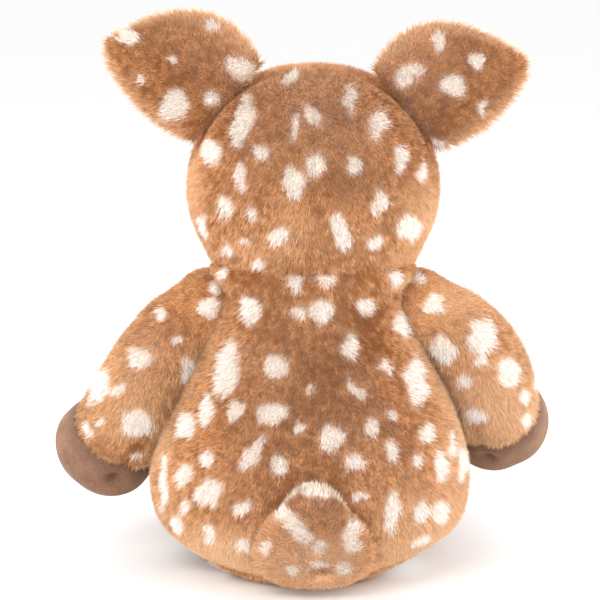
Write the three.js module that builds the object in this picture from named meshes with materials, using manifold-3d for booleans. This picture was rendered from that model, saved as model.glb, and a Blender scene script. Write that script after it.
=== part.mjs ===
// A plush fawn that sits upright, about 284 mm tall to its ear tips. Fur panels are sewn edge to edge into
// skins round cores of fibre, with hooves of short-napped suede cloth, a pouch of pellets in the seat, and
// plastic eyes whose stems pass through the face and lock in washers behind it.
//
// Sizes are in millimetres. Z is up, the fawn looks along -Y, and its own left side is +X. The origin is the
// middle of the flat seat. A skin's outer face is where the pile stands up from its cloth.

import * as THREE from 'three';
import { mergeVertices } from 'three/addons/utils/BufferGeometryUtils.js';
import Module from 'manifold-3d';

const wasm = await Module();
wasm.setup();

// Driving sizes of the cloth and its seams
const skin = 2.4; // backing cloth and the dense foot of the pile
const touch = 0.3; // between two pieces that lie against each other
const overrun = 30; // how far a cut runs past what it cuts

// Driving sizes of the body
const bodyHalfWidth = 78;
const bodyHalfDepth = 72.5;
const bodyHeight = 168; // where the body would close if the head did not sit in it
const seatSeamHeight = 6; // the seam round the flat seat panel
const bellyHalfWidth = 37;
const bellyHalfHeight = 50;
const bellyHeight = 90; // middle of the pale belly panel

// Driving sizes of the head
const headBallRadius = 58; // the round underside, which sits in the hollow between the shoulders
const headSink = 36; // how deep that ball sits below the body's closing height
const headSetForward = 4;
const headHalfWidth = 62;
const headHalfDepth = 60;
const headRise = 67; // from the middle of the ball to the crown
const neckOpeningRadius = 17;
const neckPlugRadius = 20;
const neckPlugDepth = 9;

// Driving sizes of the face
const muzzleHalfWidth = 26;
const muzzleHalfHeight = 20;
const muzzleReach = 27; // how far it stands out of the head
const muzzleDrop = 13; // its middle below the middle of the head's ball
const noseHalfWidth = 9.5;
const noseHalfHeight = 6.5;
const noseHalfDepth = 5;
const eyeRadius = 6.5;
const eyeDomeRise = 4.6;
const eyeStemRadius = 2.3;
const eyeStemLength = 12;
const eyeBearing = 26; // degrees from straight ahead, seen from the head's middle
const eyeElevation = 15; // degrees above level
const washerRadius = 7.5;
const washerThickness = 1.6;
const washerFit = 0.15; // between the stem and the washer's bore
const pocketSpare = 1.5; // stuffing left out round a stem's end

// Driving sizes of the ears
const earLength = 67.5;
const earHalfWidth = 30;
const earHalfThickness = 5.2;
const earTipOffset = 17; // how far the tip lies outward of the ear's middle
const earRollRadius = 5; // the rolled root, which is sewn down along the head
const earRollHalfLength = 20;
const earSink = 1.2; // of the roll's middle below the head's surface
const earSeamBehind = 11.5; // degrees behind the head's side, seen from its middle
const earSeamElevationLeft = 50.5; // degrees above level, seen from the head's middle
const earSeamElevationRight = 46.5;
const earLeanLeft = 41; // degrees above level in which each ear points away from its seam
const earLeanRight = 39;
const earTiltLeft = 0; // degrees forward of upright
const earTiltRight = 20;

// Driving sizes of the arms
const shoulderRadius = 17.5;
const shoulderDrop = 31; // below the body's closing height
const shoulderStandOff = 7; // of the shoulder's middle outside the body's side
const armOut = 51; // from the shoulder to the middle of the hoof
const armDrop = 85;
const armForward = 32;
const armRadius = 22.7;
const armHoofRadius = 27.5;
const armHoofCap = 19;
const armSwingLeft = 0; // degrees forward of where the arm would hang by itself
const armSwingRight = 19;
const armSpreadLeft = 4; // degrees further from the body
const armSpreadRight = -3;
const armBowLeft = -0.8; // how far the elbow is pushed out
const armBowRight = 6;

// Driving sizes of the legs
const hipRadius = 21;
const hipHeight = 24;
const hipHalfSpread = 44;
const hipStandOff = 10; // of the hip's middle outside the body's front
const legReach = 72; // from the hip to the middle of the hoof
const legSplay = 9;
const legRise = 3.2;
const legRadius = 22.5;
const legHoofRadius = 26;
const legHoofCap = 18;

// Driving sizes of the tail
const tailLength = 49.5;
const tailHalfWidth = 28;
const tailHalfThickness = 10;
const tailRollRadius = 8.5; // the lobe at the root, which the closing seam draws in
const tailRollHalfLength = 12;
const tailRollHeight = 13.5;
const tailStandOff = 5;
const tailLean = 25; // degrees backward from upright

// Driving sizes of the pellet pouch in the seat
const pouchHalfWidth = 42;
const pouchHalfDepth = 38;
const pouchHeight = 24;
const pouchCloth = 0.8;
const pouchMouthRadius = 5; // where the pellets were poured in

// How finely the forms are rounded, as counts of sides and of steps
const wideAround = 24; // the outside of the body and the head
const wideCoreAround = 14;
const limbAround = 14;
const limbCoreAround = 10;
const flapAround = 14;
const smallAround = 10;
const bodyRingCount = 12;
const bodyCoreRingCount = 8;
const headRingCount = 13;
const headCoreRingCount = 9;
const limbRingCounts = { sleeve: 7, hoof: 3, end: 4 };
const limbCoreRingCounts = { sleeve: 5, hoof: 2, end: 3 };
const muzzleRingCount = 6;
const pouchRingCount = 5;
const domeStepCount = 4;
const capStepCount = 2;

// Directions
const across = new THREE.Vector3(1, 0, 0);
const back = new THREE.Vector3(0, 1, 0);
const up = new THREE.Vector3(0, 0, 1);

// Finishes
const finish = (color, roughness, metalness = 0) =>
  new THREE.MeshStandardMaterial({ color, roughness, metalness });
const spottedFur = finish(0xb0703f, 0.95);
const creamFur = finish(0xf0e2cf, 0.95);
const suede = finish(0x8a6753, 0.9);
const fibre = finish(0xf4f4f0, 1);
const pouchFabric = finish(0xe4e0d6, 0.9);
const pelletPlastic = finish(0xd9dde0, 0.5);
const eyePlastic = finish(0x120c08, 0.12);
const washerPlastic = finish(0xeef0f0, 0.45);
const noseVelour = finish(0x4a2f24, 0.85);

// Solids and their cuts

function solidOf(geometry) {
  const bare = geometry.clone();
  bare.deleteAttribute('normal');
  bare.deleteAttribute('uv');
  const merged = mergeVertices(bare);
  return new wasm.Manifold(new wasm.Mesh({
    numProp: 3,
    vertProperties: new Float32Array(merged.attributes.position.array),
    triVerts: new Uint32Array(merged.index.array),
  }));
}

function geometryOf(solid) {
  const mesh = solid.getMesh();
  const geometry = new THREE.BufferGeometry();
  geometry.setAttribute('position', new THREE.BufferAttribute(mesh.vertProperties, 3));
  geometry.setIndex(new THREE.BufferAttribute(mesh.triVerts, 1));
  return geometry;
}

function cut(solid, ...cutters) {
  return cutters.reduce((left, cutter) => left.subtract(cutter), solid);
}

// A closed skin over a stack of rings, with a pole at each end, its faces pointing outward
function skinOver(startPole, rings, endPole) {
  const around = rings[0].length;
  const points = [startPole, ...rings.flat(), endPole];
  const last = points.length - 1;
  const at = (ring, step) => 1 + ring * around + (step % around);
  const faces = [];
  for (let step = 0; step < around; step += 1) {
    faces.push([0, at(0, step + 1), at(0, step)]);
    faces.push([last, at(rings.length - 1, step), at(rings.length - 1, step + 1)]);
    for (let ring = 0; ring + 1 < rings.length; ring += 1) {
      faces.push([at(ring, step), at(ring, step + 1), at(ring + 1, step)]);
      faces.push([at(ring, step + 1), at(ring + 1, step + 1), at(ring + 1, step)]);
    }
  }
  const signedVolume = faces.reduce((sum, [a, b, c]) =>
    sum + points[a].dot(new THREE.Vector3().crossVectors(points[b], points[c])), 0);
  const outward = signedVolume > 0 ? faces : faces.map(([a, b, c]) => [a, c, b]);
  const geometry = new THREE.BufferGeometry().setFromPoints(points);
  geometry.setIndex(outward.flat());
  return geometry;
}

// A profile is a list of stations from one pole to the other: how far along, half width and half thickness.
// Growing it moves each station along the profile's own outward normal, so a skin keeps its thickness.
function grown(profile, grow) {
  const radius = (station) => (station.wide + station.thick) / 2;
  return profile.map((station, i) => {
    const before = profile[i - 1];
    const after = profile[i + 1];
    const isPole = !before || !after;
    const run = isPole ? 0 : after.along - before.along;
    const rise = isPole ? (after ? 1 : -1) : radius(after) - radius(before);
    const length = Math.hypot(run, rise);
    const outward = (grow * run) / length;
    return {
      ...station,
      along: station.along - (grow * rise) / length,
      wide: isPole ? 0 : station.wide + outward,
      thick: isPole ? 0 : station.thick + outward,
    };
  });
}

// A solid over a profile, put in place by a function of a station and of a point across and through it
function loft(profile, around, place, pinch = () => 1) {
  const rings = profile.slice(1, -1).map((station) =>
    Array.from({ length: around }, (_, step) => {
      const angle = (2 * Math.PI * step) / around;
      const reach = pinch(station, angle);
      return place(station, station.wide * reach * Math.cos(angle), station.thick * reach * Math.sin(angle));
    }));
  return solidOf(skinOver(place(profile[0], 0, 0), rings, place(profile[profile.length - 1], 0, 0)));
}

// A smooth run of stations through a table of rows
function smoothStations(rows, steps) {
  const points = rows.map(([along, wide, thick]) => new THREE.Vector3(along, wide, thick));
  const curve = new THREE.CatmullRomCurve3(points, false, 'centripetal');
  return curve.getPoints(steps).map((p) => ({ along: p.x, wide: p.y, thick: p.z }));
}

// The same run with a pole at each end
function closedStations(start, rows, steps, end) {
  const pole = (along) => ({ along, wide: 0, thick: 0 });
  return [pole(start), ...smoothStations(rows, steps), pole(end)];
}

// A quarter round of stations from a ring out to a pole, for the end of a limb
function roundedEnd(along, radius, depth, steps) {
  return Array.from({ length: steps }, (_, i) => {
    const angle = (Math.PI / 2) * ((i + 1) / steps);
    const wide = i + 1 < steps ? radius * Math.cos(angle) : 0;
    return { along: along + depth * Math.sin(angle), wide, thick: wide };
  });
}

function ball(centre, radius, around) {
  const geometry = new THREE.SphereGeometry(radius, around, Math.round(around / 2));
  return solidOf(geometry.translate(centre.x, centre.y, centre.z));
}

// A faceted form turns in its seat only if the seat's flats clear the form's corners as well
function seatRadius(radius, around) {
  return radius + touch + 2 * radius * (1 - Math.cos(Math.PI / around));
}

function alongLine(geometry, start, end) {
  const direction = new THREE.Vector3().subVectors(end, start).normalize();
  geometry.applyQuaternion(new THREE.Quaternion().setFromUnitVectors(back, direction));
  const middle = new THREE.Vector3().addVectors(start, end).multiplyScalar(0.5);
  return solidOf(geometry.translate(middle.x, middle.y, middle.z));
}

function bar(start, end, radius, around = smallAround) {
  return alongLine(new THREE.CylinderGeometry(radius, radius, start.distanceTo(end), around), start, end);
}

function roundEndedBar(start, end, radius, around = smallAround) {
  return alongLine(new THREE.CapsuleGeometry(radius, start.distanceTo(end), capStepCount, around), start, end);
}

// Everything on one side of a plane, as a box large enough for the whole fawn
function sideOfPlane(point, normal) {
  const reach = 2 * (bodyHeight + headRise + earLength + overrun);
  const geometry = new THREE.BoxGeometry(reach, reach, reach).translate(0, reach / 2, 0);
  geometry.applyQuaternion(new THREE.Quaternion().setFromUnitVectors(back, normal.clone().normalize()));
  return solidOf(geometry.translate(point.x, point.y, point.z));
}

// Body: upright rings, flat underneath, widest low down and drawn in towards the shoulders
const bodyShares = [
  // height, width, depth
  [0, 0.58, 0.58],
  [0.048, 0.775, 0.775],
  [0.137, 0.937, 0.938],
  [0.262, 1, 1],
  [0.357, 0.985, 0.993],
  [0.512, 0.875, 0.897],
  [0.667, 0.711, 0.759],
  [0.821, 0.59, 0.648],
  [0.929, 0.557, 0.607],
  [1, 0.42, 0.45],
];
const bodyRows = bodyShares.map(([height, width, depth]) =>
  [height * bodyHeight, width * bodyHalfWidth, depth * bodyHalfDepth]);
const bodyProfile = closedStations(0, bodyRows, bodyRingCount, bodyHeight);
const bodyCoreProfile = closedStations(0, bodyRows, bodyCoreRingCount, bodyHeight);

const uprightPlace = (station, x, y) => new THREE.Vector3(x, y, station.along);

const bodyForm = (grow) => loft(grown(bodyProfile, grow), wideAround, uprightPlace);
const bodyCoreForm = (grow) => loft(grown(bodyCoreProfile, grow), wideCoreAround, uprightPlace);

// Half width and half depth of the body at a height
function bodyAt(height) {
  const upper = Math.max(2, bodyProfile.findIndex((station) => station.along >= height));
  const [low, high] = [bodyProfile[upper - 1], bodyProfile[upper]];
  const share = (height - low.along) / (high.along - low.along);
  return {
    wide: THREE.MathUtils.lerp(low.wide, high.wide, share),
    thick: THREE.MathUtils.lerp(low.thick, high.thick, share),
  };
}

// Head: a ball below, which turns in the body's hollow, growing into a fuller crown and cheeks above
const headMiddle = new THREE.Vector3(0, -headSetForward, bodyHeight + headBallRadius - headSink);
const ballAngle = 66; // degrees from straight down to where the head stops being a ball
const fullAngle = 98; // degrees from straight down to where it has its full form
const crownSquareness = 2.3;

function headReach(direction) {
  const part = (value, half) => (Math.abs(value) / half) ** crownSquareness;
  const sum = part(direction.x, headHalfWidth) + part(direction.y, headHalfDepth)
    + part(direction.z, headRise);
  const full = sum ** (-1 / crownSquareness);
  const fromBelow = THREE.MathUtils.radToDeg(Math.acos(-direction.z));
  const share = THREE.MathUtils.smoothstep(fromBelow, ballAngle, fullAngle);
  return THREE.MathUtils.lerp(headBallRadius, full, share);
}

function headRings(grow, around, ringCount) {
  const point = (fromBelow, angle) => {
    const direction = new THREE.Vector3(Math.sin(fromBelow), 0, -Math.cos(fromBelow))
      .applyAxisAngle(up, angle);
    return direction.clone().multiplyScalar(headReach(direction) + grow).add(headMiddle);
  };
  const rings = Array.from({ length: ringCount - 1 }, (_, ring) =>
    Array.from({ length: around }, (__, step) =>
      point((Math.PI * (ring + 1)) / ringCount, (2 * Math.PI * step) / around)));
  return solidOf(skinOver(point(0, 0), rings, point(Math.PI, 0)));
}

const headForm = (grow) => headRings(grow, wideAround, headRingCount);
const headCoreForm = (grow) => headRings(grow, wideCoreAround, headCoreRingCount);
const headSeat = ball(headMiddle, seatRadius(headBallRadius, wideAround), wideAround);

// A limb: a ball at the root, a swelling sleeve along a curved spine, and a cloven hoof at the end. The hoof
// is sewn to the sleeve round a seam square to the spine.
const seamShare = 0.86; // of the way from the root to the middle of the hoof
const cleftShare = 0.16; // how far the cleft draws the hoof in, halfway along it
const cleftWidth = 0.3; // radians either side of the cleft
// Way along, and share of the root ball's, the sleeve's or the hoof's radius
const rootShares = [[0, 1], [0.1, 0.99]];
const sleeveShares = [[0.24, 0.84], [0.38, 0.94], [0.54, 0.98], [0.7, 1], [0.85, 1]];
const hoofShares = [[0.87, 0.93], [0.93, 0.98], [1, 1]];

class Limb {
  constructor({ points, rootRadius, sleeveRadius, hoofRadius, hoofCap, reference }) {
    Object.assign(this, { root: points[0], rootRadius, sleeveRadius, hoofRadius, hoofCap, reference });
    this.spine = new THREE.CatmullRomCurve3(points, false, 'centripetal');
    this.length = this.spine.getLength();
  }

  // The hollow that the limb's root turns in
  seat(grow = 0) {
    return ball(this.root, seatRadius(this.rootRadius, limbAround) + grow, limbAround);
  }

  profile(steps) {
    const rows = (shares, radius) =>
      shares.map(([way, share]) => [way * this.length, share * radius, share * radius]);
    const start = roundedEnd(0, this.rootRadius, -this.rootRadius, steps.end).reverse();
    const sleeve = [...rows(rootShares, this.rootRadius), ...rows(sleeveShares, this.sleeveRadius)];
    const hoof = rows(hoofShares, this.hoofRadius);
    const end = roundedEnd(this.length, this.hoofRadius, this.hoofCap, steps.end);
    return [...start, ...smoothStations(sleeve, steps.sleeve), ...smoothStations(hoof, steps.hoof), ...end];
  }

  // A point across and through the spine, which runs on straight past its ends
  place(station, x, y) {
    const share = THREE.MathUtils.clamp(station.along / this.length, 0, 1);
    const tangent = this.spine.getTangentAt(share);
    const side = new THREE.Vector3().crossVectors(this.reference, tangent).normalize();
    const top = new THREE.Vector3().crossVectors(tangent, side);
    return this.spine.getPointAt(share).addScaledVector(tangent, station.along - share * this.length)
      .addScaledVector(side, x).addScaledVector(top, y);
  }

  form(profile, around, grow) {
    const cleft = (station, angle) => {
      const [from, to] = [seamShare * this.length, this.length + this.hoofCap];
      const way = THREE.MathUtils.clamp((station.along - from) / (to - from), 0, 1);
      const off = Math.abs(Math.abs(angle - Math.PI) - Math.PI / 2);
      return 1 - cleftShare * Math.sin(Math.PI * way) * Math.exp(-((off / cleftWidth) ** 2));
    };
    return loft(grown(profile, grow), around, (...at) => this.place(...at), cleft);
  }

  outside() {
    return this.form(this.profile(limbRingCounts), limbAround, 0);
  }

  core(grow) {
    return this.form(this.profile(limbCoreRingCounts), limbCoreAround, grow);
  }

  pieces() {
    // Outside its own seat, the limb gives way to the body
    const body = bodyForm(touch).subtract(this.seat(-touch));
    const seam = this.spine.getPointAt(seamShare);
    const tangent = this.spine.getTangentAt(seamShare);
    const sideOfSeam = (sign) => {
      const facing = tangent.clone().multiplyScalar(sign);
      return sideOfPlane(seam.clone().addScaledVector(facing, touch / 2), facing);
    };
    const shell = cut(this.outside(), body, this.core(-skin));
    return {
      sleeve: shell.intersect(sideOfSeam(-1)),
      hoof: shell.intersect(sideOfSeam(1)),
      stuffing: this.core(-skin - touch).subtract(body),
    };
  }
}

const elbowRiseShare = 0.8; // of the elbow's push outward
const armPathShares = [
  // out, forward, down
  [0, 0, 0],
  [0.29, 0.06, 0.17],
  [0.45, 0.15, 0.335],
  [0.61, 0.29, 0.53],
  [0.745, 0.5, 0.72],
  [0.87, 0.74, 0.88],
  [1, 1, 1],
];

const shoulderHeight = bodyHeight - shoulderDrop;

function armOf(side, { swing, spread, bow }) {
  const out = bodyAt(shoulderHeight).wide + shoulderStandOff;
  const root = new THREE.Vector3(side * out, 0, shoulderHeight);
  const points = armPathShares.map(([outShare, forwardShare, downShare]) => {
    const push = bow * Math.sin(Math.PI * downShare);
    return new THREE.Vector3(side * (outShare * armOut + push), -forwardShare * armForward,
      elbowRiseShare * push - downShare * armDrop)
      .applyAxisAngle(back, -side * THREE.MathUtils.degToRad(spread))
      .applyAxisAngle(across, -THREE.MathUtils.degToRad(swing)).add(root);
  });
  return new Limb({
    points,
    rootRadius: shoulderRadius,
    sleeveRadius: armRadius,
    hoofRadius: armHoofRadius,
    hoofCap: armHoofCap,
    reference: back,
  });
}

const legPathShares = [
  // out, forward, up
  [0, 0, 0],
  [0.35, 0.34, 0.2],
  [0.7, 0.68, 0.6],
  [1, 1, 1],
];

function legOf(side) {
  const { wide, thick } = bodyAt(hipHeight);
  const front = thick * Math.sqrt(1 - (hipHalfSpread / wide) ** 2);
  const root = new THREE.Vector3(side * hipHalfSpread, -front - hipStandOff, hipHeight);
  const points = legPathShares.map(([outShare, forwardShare, riseShare]) =>
    new THREE.Vector3(side * outShare * legSplay, -forwardShare * legReach, riseShare * legRise).add(root));
  return new Limb({
    points,
    rootRadius: hipRadius,
    sleeveRadius: legRadius,
    hoofRadius: legHoofRadius,
    hoofCap: legHoofCap,
    reference: up,
  });
}

const limbs = {
  arm_left: armOf(1, { swing: armSwingLeft, spread: armSpreadLeft, bow: armBowLeft }),
  arm_right: armOf(-1, { swing: armSwingRight, spread: armSpreadRight, bow: armBowRight }),
  leg_left: legOf(1),
  leg_right: legOf(-1),
};

// A flap is an ear or the tail: a leaf that stands out of a rolled root, which is sewn down along its seam.
// Its own frame has the seam along X, its thickness along Y and its length along Z.
class Flap {
  constructor({ root, frame, rows, rollRadius, rollHalfLength, parent }) {
    Object.assign(this, { root, frame, rollRadius, rollHalfLength, parent });
    const stations = rows.map(([along, wide, thick, sway]) => ({ along, wide, thick, sway }));
    this.profile = [{ ...stations[0], wide: 0, thick: 0 }, ...stations];
  }

  toWorld(x, y, z) {
    return new THREE.Vector3(x, y, z).applyMatrix4(this.frame).add(this.root);
  }

  roll(radius, halfLength) {
    return roundEndedBar(this.toWorld(-halfLength, 0, 0), this.toWorld(halfLength, 0, 0), radius);
  }

  // The hollow that the root turns in
  seat(grow = 0) {
    return this.roll(seatRadius(this.rollRadius, smallAround) + grow, this.rollHalfLength + 2 * touch);
  }

  leaf(grow) {
    return loft(grown(this.profile, grow), flapAround, (station, x, y) =>
      this.toWorld(x + station.sway, y, station.along));
  }

  // The whole flap, which gives way to the surface that it is sewn to outside its own seat
  whole() {
    const roll = this.roll(this.rollRadius, this.rollHalfLength);
    return this.leaf(0).add(roll).subtract(this.parent(touch).subtract(this.seat(-2 * touch)));
  }

  // The room inside the flap, at a depth below its outer face
  inside(depth) {
    return this.leaf(-depth).subtract(this.parent(touch + depth));
  }

  // The part of a solid behind the flap's middle layer, or in front of it
  behind(solid) {
    return solid.intersect(sideOfPlane(this.toWorld(0, touch / 2, 0), this.facing(1)));
  }

  inFront(solid) {
    return solid.intersect(sideOfPlane(this.toWorld(0, -touch / 2, 0), this.facing(-1)));
  }

  facing(sign) {
    return new THREE.Vector3(0, sign, 0).applyMatrix4(this.frame);
  }
}

const earShares = [
  // length, width, thickness, sway towards the tip
  [0, 0.82, 0.7, 0.05],
  [0.16, 0.95, 0.86, 0.05],
  [0.36, 1, 1, 0.07],
  [0.58, 0.9, 0.95, 0.17],
  [0.77, 0.66, 0.8, 0.42],
  [0.91, 0.33, 0.56, 0.76],
  [1, 0, 0, 1],
];

// A unit vector to one side of the fawn, at a number of degrees above level
function sideways(side, degrees) {
  const angle = THREE.MathUtils.degToRad(degrees);
  return new THREE.Vector3(side * Math.cos(angle), 0, Math.sin(angle));
}

function earOf(side, { elevation, lean, tilt }) {
  const behind = THREE.MathUtils.degToRad(earSeamBehind);
  const toSeam = sideways(side, elevation).multiplyScalar(Math.cos(behind))
    .addScaledVector(back, Math.sin(behind));
  const root = toSeam.clone().multiplyScalar(headReach(toSeam) - earSink).add(headMiddle);
  const outward = sideways(side, lean - 90);
  const forward = -side * THREE.MathUtils.degToRad(tilt);
  return new Flap({
    root,
    frame: new THREE.Matrix4().makeBasis(outward, back.clone().applyAxisAngle(outward, forward),
      sideways(side, lean).applyAxisAngle(outward, forward)),
    rows: earShares.map(([length, width, thickness, sway]) =>
      [length * earLength, width * earHalfWidth, thickness * earHalfThickness, sway * earTipOffset]),
    rollRadius: earRollRadius,
    rollHalfLength: earRollHalfLength,
    parent: headForm,
  });
}

const tailShares = [
  // length, width, thickness
  [0, 0.6, 0.72],
  [0.16, 0.95, 0.9],
  [0.36, 1, 1],
  [0.58, 0.84, 0.98],
  [0.78, 0.54, 0.8],
  [0.93, 0.22, 0.45],
  [1, 0, 0],
];

function tailOf() {
  const lean = THREE.MathUtils.degToRad(tailLean);
  const away = new THREE.Vector3(0, Math.sin(lean), Math.cos(lean));
  const outward = new THREE.Vector3(0, Math.cos(lean), -Math.sin(lean));
  return new Flap({
    root: new THREE.Vector3(0, bodyAt(tailRollHeight).thick + tailStandOff, tailRollHeight),
    frame: new THREE.Matrix4().makeBasis(across, outward, away),
    rows: tailShares.map(([length, width, thickness]) =>
      [length * tailLength, width * tailHalfWidth, thickness * tailHalfThickness, 0]),
    rollRadius: tailRollRadius,
    rollHalfLength: tailRollHalfLength,
    parent: bodyForm,
  });
}

const ears = {
  ear_left: earOf(1, { elevation: earSeamElevationLeft, lean: earLeanLeft, tilt: earTiltLeft }),
  ear_right: earOf(-1, { elevation: earSeamElevationRight, lean: earLeanRight, tilt: earTiltRight }),
};
const tail = tailOf();

// Face: a muzzle that grows out of the head, a nose on its tip and two eyes above it
const muzzleAxisHeight = headMiddle.z - muzzleDrop;
const headFront = headMiddle.y - headBallRadius;
const muzzleRootShare = -0.5; // of its reach, where it starts inside the head
const muzzleShares = [
  // reach, width, height
  [muzzleRootShare, 0.92, 0.92],
  [0, 1, 1],
  [0.3, 0.98, 0.97],
  [0.55, 0.9, 0.88],
  [0.78, 0.74, 0.72],
  [0.93, 0.48, 0.46],
];
const muzzleRows = muzzleShares.map(([reach, width, height]) =>
  [reach * muzzleReach, width * muzzleHalfWidth, height * muzzleHalfHeight]);
const muzzleRoot = muzzleRootShare * muzzleReach;
const muzzleProfile = closedStations(muzzleRoot, muzzleRows, muzzleRingCount, muzzleReach);

function muzzleForm(grow, around = wideCoreAround) {
  return loft(grown(muzzleProfile, grow), around, (station, x, z) =>
    new THREE.Vector3(x, headFront - station.along, muzzleAxisHeight + z));
}

const noseRiseShare = 0.34; // of the muzzle's half height, above its middle
const noseSinkShare = 0.55; // of the nose's own depth, into the muzzle

function nosePiece() {
  const geometry = new THREE.SphereGeometry(1, smallAround, smallAround);
  geometry.rotateX(Math.PI / 2).scale(noseHalfWidth, noseHalfDepth, noseHalfHeight);
  geometry.translate(0, headFront - muzzleReach + noseSinkShare * noseHalfDepth,
    muzzleAxisHeight + noseRiseShare * muzzleHalfHeight);
  return solidOf(geometry).subtract(muzzleForm(touch));
}

const washerFace = -skin - 2 * touch; // distance outward from under the dome

class Eye {
  constructor(side) {
    const bearing = THREE.MathUtils.degToRad(eyeBearing);
    const elevation = THREE.MathUtils.degToRad(eyeElevation);
    this.axis = new THREE.Vector3(side * Math.sin(bearing) * Math.cos(elevation),
      -Math.cos(bearing) * Math.cos(elevation), Math.sin(elevation));
    this.origin = this.axis.clone().multiplyScalar(headReach(this.axis) + touch).add(headMiddle);
  }

  // A turned piece whose profile is a list of [radius, distance outward from the face]
  turned(profile) {
    const outline = profile.map(([radius, out]) => new THREE.Vector2(radius, out));
    const geometry = new THREE.LatheGeometry(outline, smallAround);
    geometry.applyQuaternion(new THREE.Quaternion().setFromUnitVectors(back, this.axis));
    return solidOf(geometry.translate(this.origin.x, this.origin.y, this.origin.z));
  }

  // The dome and its stem are one moulding
  dome() {
    const arc = Array.from({ length: domeStepCount }, (_, i) => {
      const angle = (Math.PI / 2) * (i / domeStepCount);
      return [eyeRadius * Math.cos(angle), eyeDomeRise * Math.sin(angle)];
    });
    const stem = [[0, -eyeStemLength], [eyeStemRadius, -eyeStemLength], [eyeStemRadius, 0]];
    return this.turned([...stem, ...arc, [0, eyeDomeRise]]);
  }

  // A lock washer, pushed up the stem against the inside of the skin
  washer() {
    const bore = eyeStemRadius + washerFit;
    const inner = washerFace - washerThickness;
    return this.turned([[bore, inner], [washerRadius, inner], [washerRadius, washerFace], [bore, washerFace],
      [bore, inner]]);
  }

  // What the skin gives up: the stem's hole, and the flats under the dome and over the washer
  seat() {
    const [hole, rim, flat] = [eyeStemRadius + touch, eyeRadius + touch, washerRadius + touch];
    const inner = washerFace + touch;
    return this.turned([[0, -eyeStemLength], [flat, -eyeStemLength], [flat, inner], [hole, inner],
      [hole, -touch], [rim, -touch], [rim, skin], [0, skin]]);
  }

  // What the stuffing gives up round the stem and its washer
  pocket() {
    const [radius, depth] = [washerRadius + touch, eyeStemLength + pocketSpare];
    return this.turned([[0, -depth], [radius, -depth], [radius, skin], [0, skin]]);
  }
}

const eyes = { eye_left: new Eye(1), eye_right: new Eye(-1) };

// Neck: a plug of fibre in the body's neck opening, on which the head turns and nods
function neckPlug(radius, grow) {
  const bottom = headMiddle.z - headBallRadius - neckPlugDepth - grow;
  return bar(new THREE.Vector3(0, headMiddle.y, bottom), headMiddle, radius, wideAround).subtract(headSeat);
}

const neckSeat = neckPlug(seatRadius(neckPlugRadius, wideAround), touch);

// Pellet pouch: a flat bag that fills the bottom of the seat
const pouchBase = skin + touch;
const pouchShares = [
  // height, width and depth
  [0, 0.8],
  [0.14, 0.95],
  [0.4, 1],
  [0.7, 0.86],
  [0.93, 0.5],
];
const pouchTop = pouchBase + pouchHeight;
const pouchRows = pouchShares.map(([height, share]) =>
  [pouchBase + height * pouchHeight, share * pouchHalfWidth, share * pouchHalfDepth]);
const pouchProfile = closedStations(pouchBase, pouchRows, pouchRingCount, pouchTop);
const pouchForm = (grow) => loft(grown(pouchProfile, grow), wideCoreAround, uprightPlace);
const pouchMouth = bar(new THREE.Vector3(0, 0, pouchTop - pouchHeight / 2),
  new THREE.Vector3(0, 0, pouchTop + overrun), pouchMouthRadius);

// Sewing the body together
function bellyCutter(grow) {
  const outline = new THREE.Shape();
  outline.absellipse(0, 0, bellyHalfWidth + grow, bellyHalfHeight + grow, 0, 2 * Math.PI);
  const geometry = new THREE.ExtrudeGeometry(outline, {
    depth: bodyHalfDepth + overrun,
    bevelEnabled: false,
    curveSegments: smallAround,
  });
  return solidOf(geometry.rotateX(Math.PI / 2).translate(0, 0, bellyHeight));
}

const leftHalf = sideOfPlane(new THREE.Vector3(touch / 2, 0, 0), across);
const rightHalf = sideOfPlane(new THREE.Vector3(-touch / 2, 0, 0), across.clone().negate());
const seatSeam = new THREE.Vector3(0, 0, seatSeamHeight);
const underSeatSeam = sideOfPlane(seatSeam, up.clone().negate());
const overSeatSeam = sideOfPlane(seatSeam.clone().addScaledVector(up, touch), up);

const bodySeats = [headSeat, ...Object.values(limbs).map((limb) => limb.seat()), tail.seat()];
const bodySkin = cut(bodyForm(0), bodyCoreForm(-skin), ...bodySeats);
const bodySides = bodySkin.subtract(bellyCutter(touch)).intersect(overSeatSeam);
const bodyCore = cut(bodyCoreForm(-skin - touch), ...bodySeats, neckSeat, pouchForm(touch));

// Sewing the head together
const underHead = headMiddle.clone().addScaledVector(up, -headBallRadius - overrun);
const headOpening = bar(underHead, headMiddle, neckOpeningRadius, wideCoreAround);
const earSeats = Object.values(ears).map((ear) => ear.seat());
const eyeSeats = Object.values(eyes).map((eye) => eye.seat());
const eyePockets = Object.values(eyes).map((eye) => eye.pocket());
const headOpenings = [muzzleForm(touch), headOpening, ...earSeats, ...eyeSeats];
const headSkin = cut(headForm(0), headCoreForm(-skin), ...headOpenings);
const headCore = headCoreForm(-skin - touch).add(muzzleForm(-skin - touch, smallAround));
const muzzleSkin = cut(muzzleForm(0), muzzleForm(-skin, smallAround), headCoreForm(-skin));

// Putting the fawn together. Each moving piece hangs in a group that stands at its seam.
const model = new THREE.Group();

function hang(parent, seam) {
  const group = new THREE.Group();
  group.position.copy(seam).sub(parent.userData.seam ?? new THREE.Vector3());
  group.userData.seam = seam.clone();
  parent.add(group);
  return group;
}

function addPiece(parent, name, solid, material) {
  const seam = parent.userData.seam ?? new THREE.Vector3();
  const mesh = new THREE.Mesh(geometryOf(solid).translate(-seam.x, -seam.y, -seam.z), material);
  mesh.name = name;
  parent.add(mesh);
}

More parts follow.
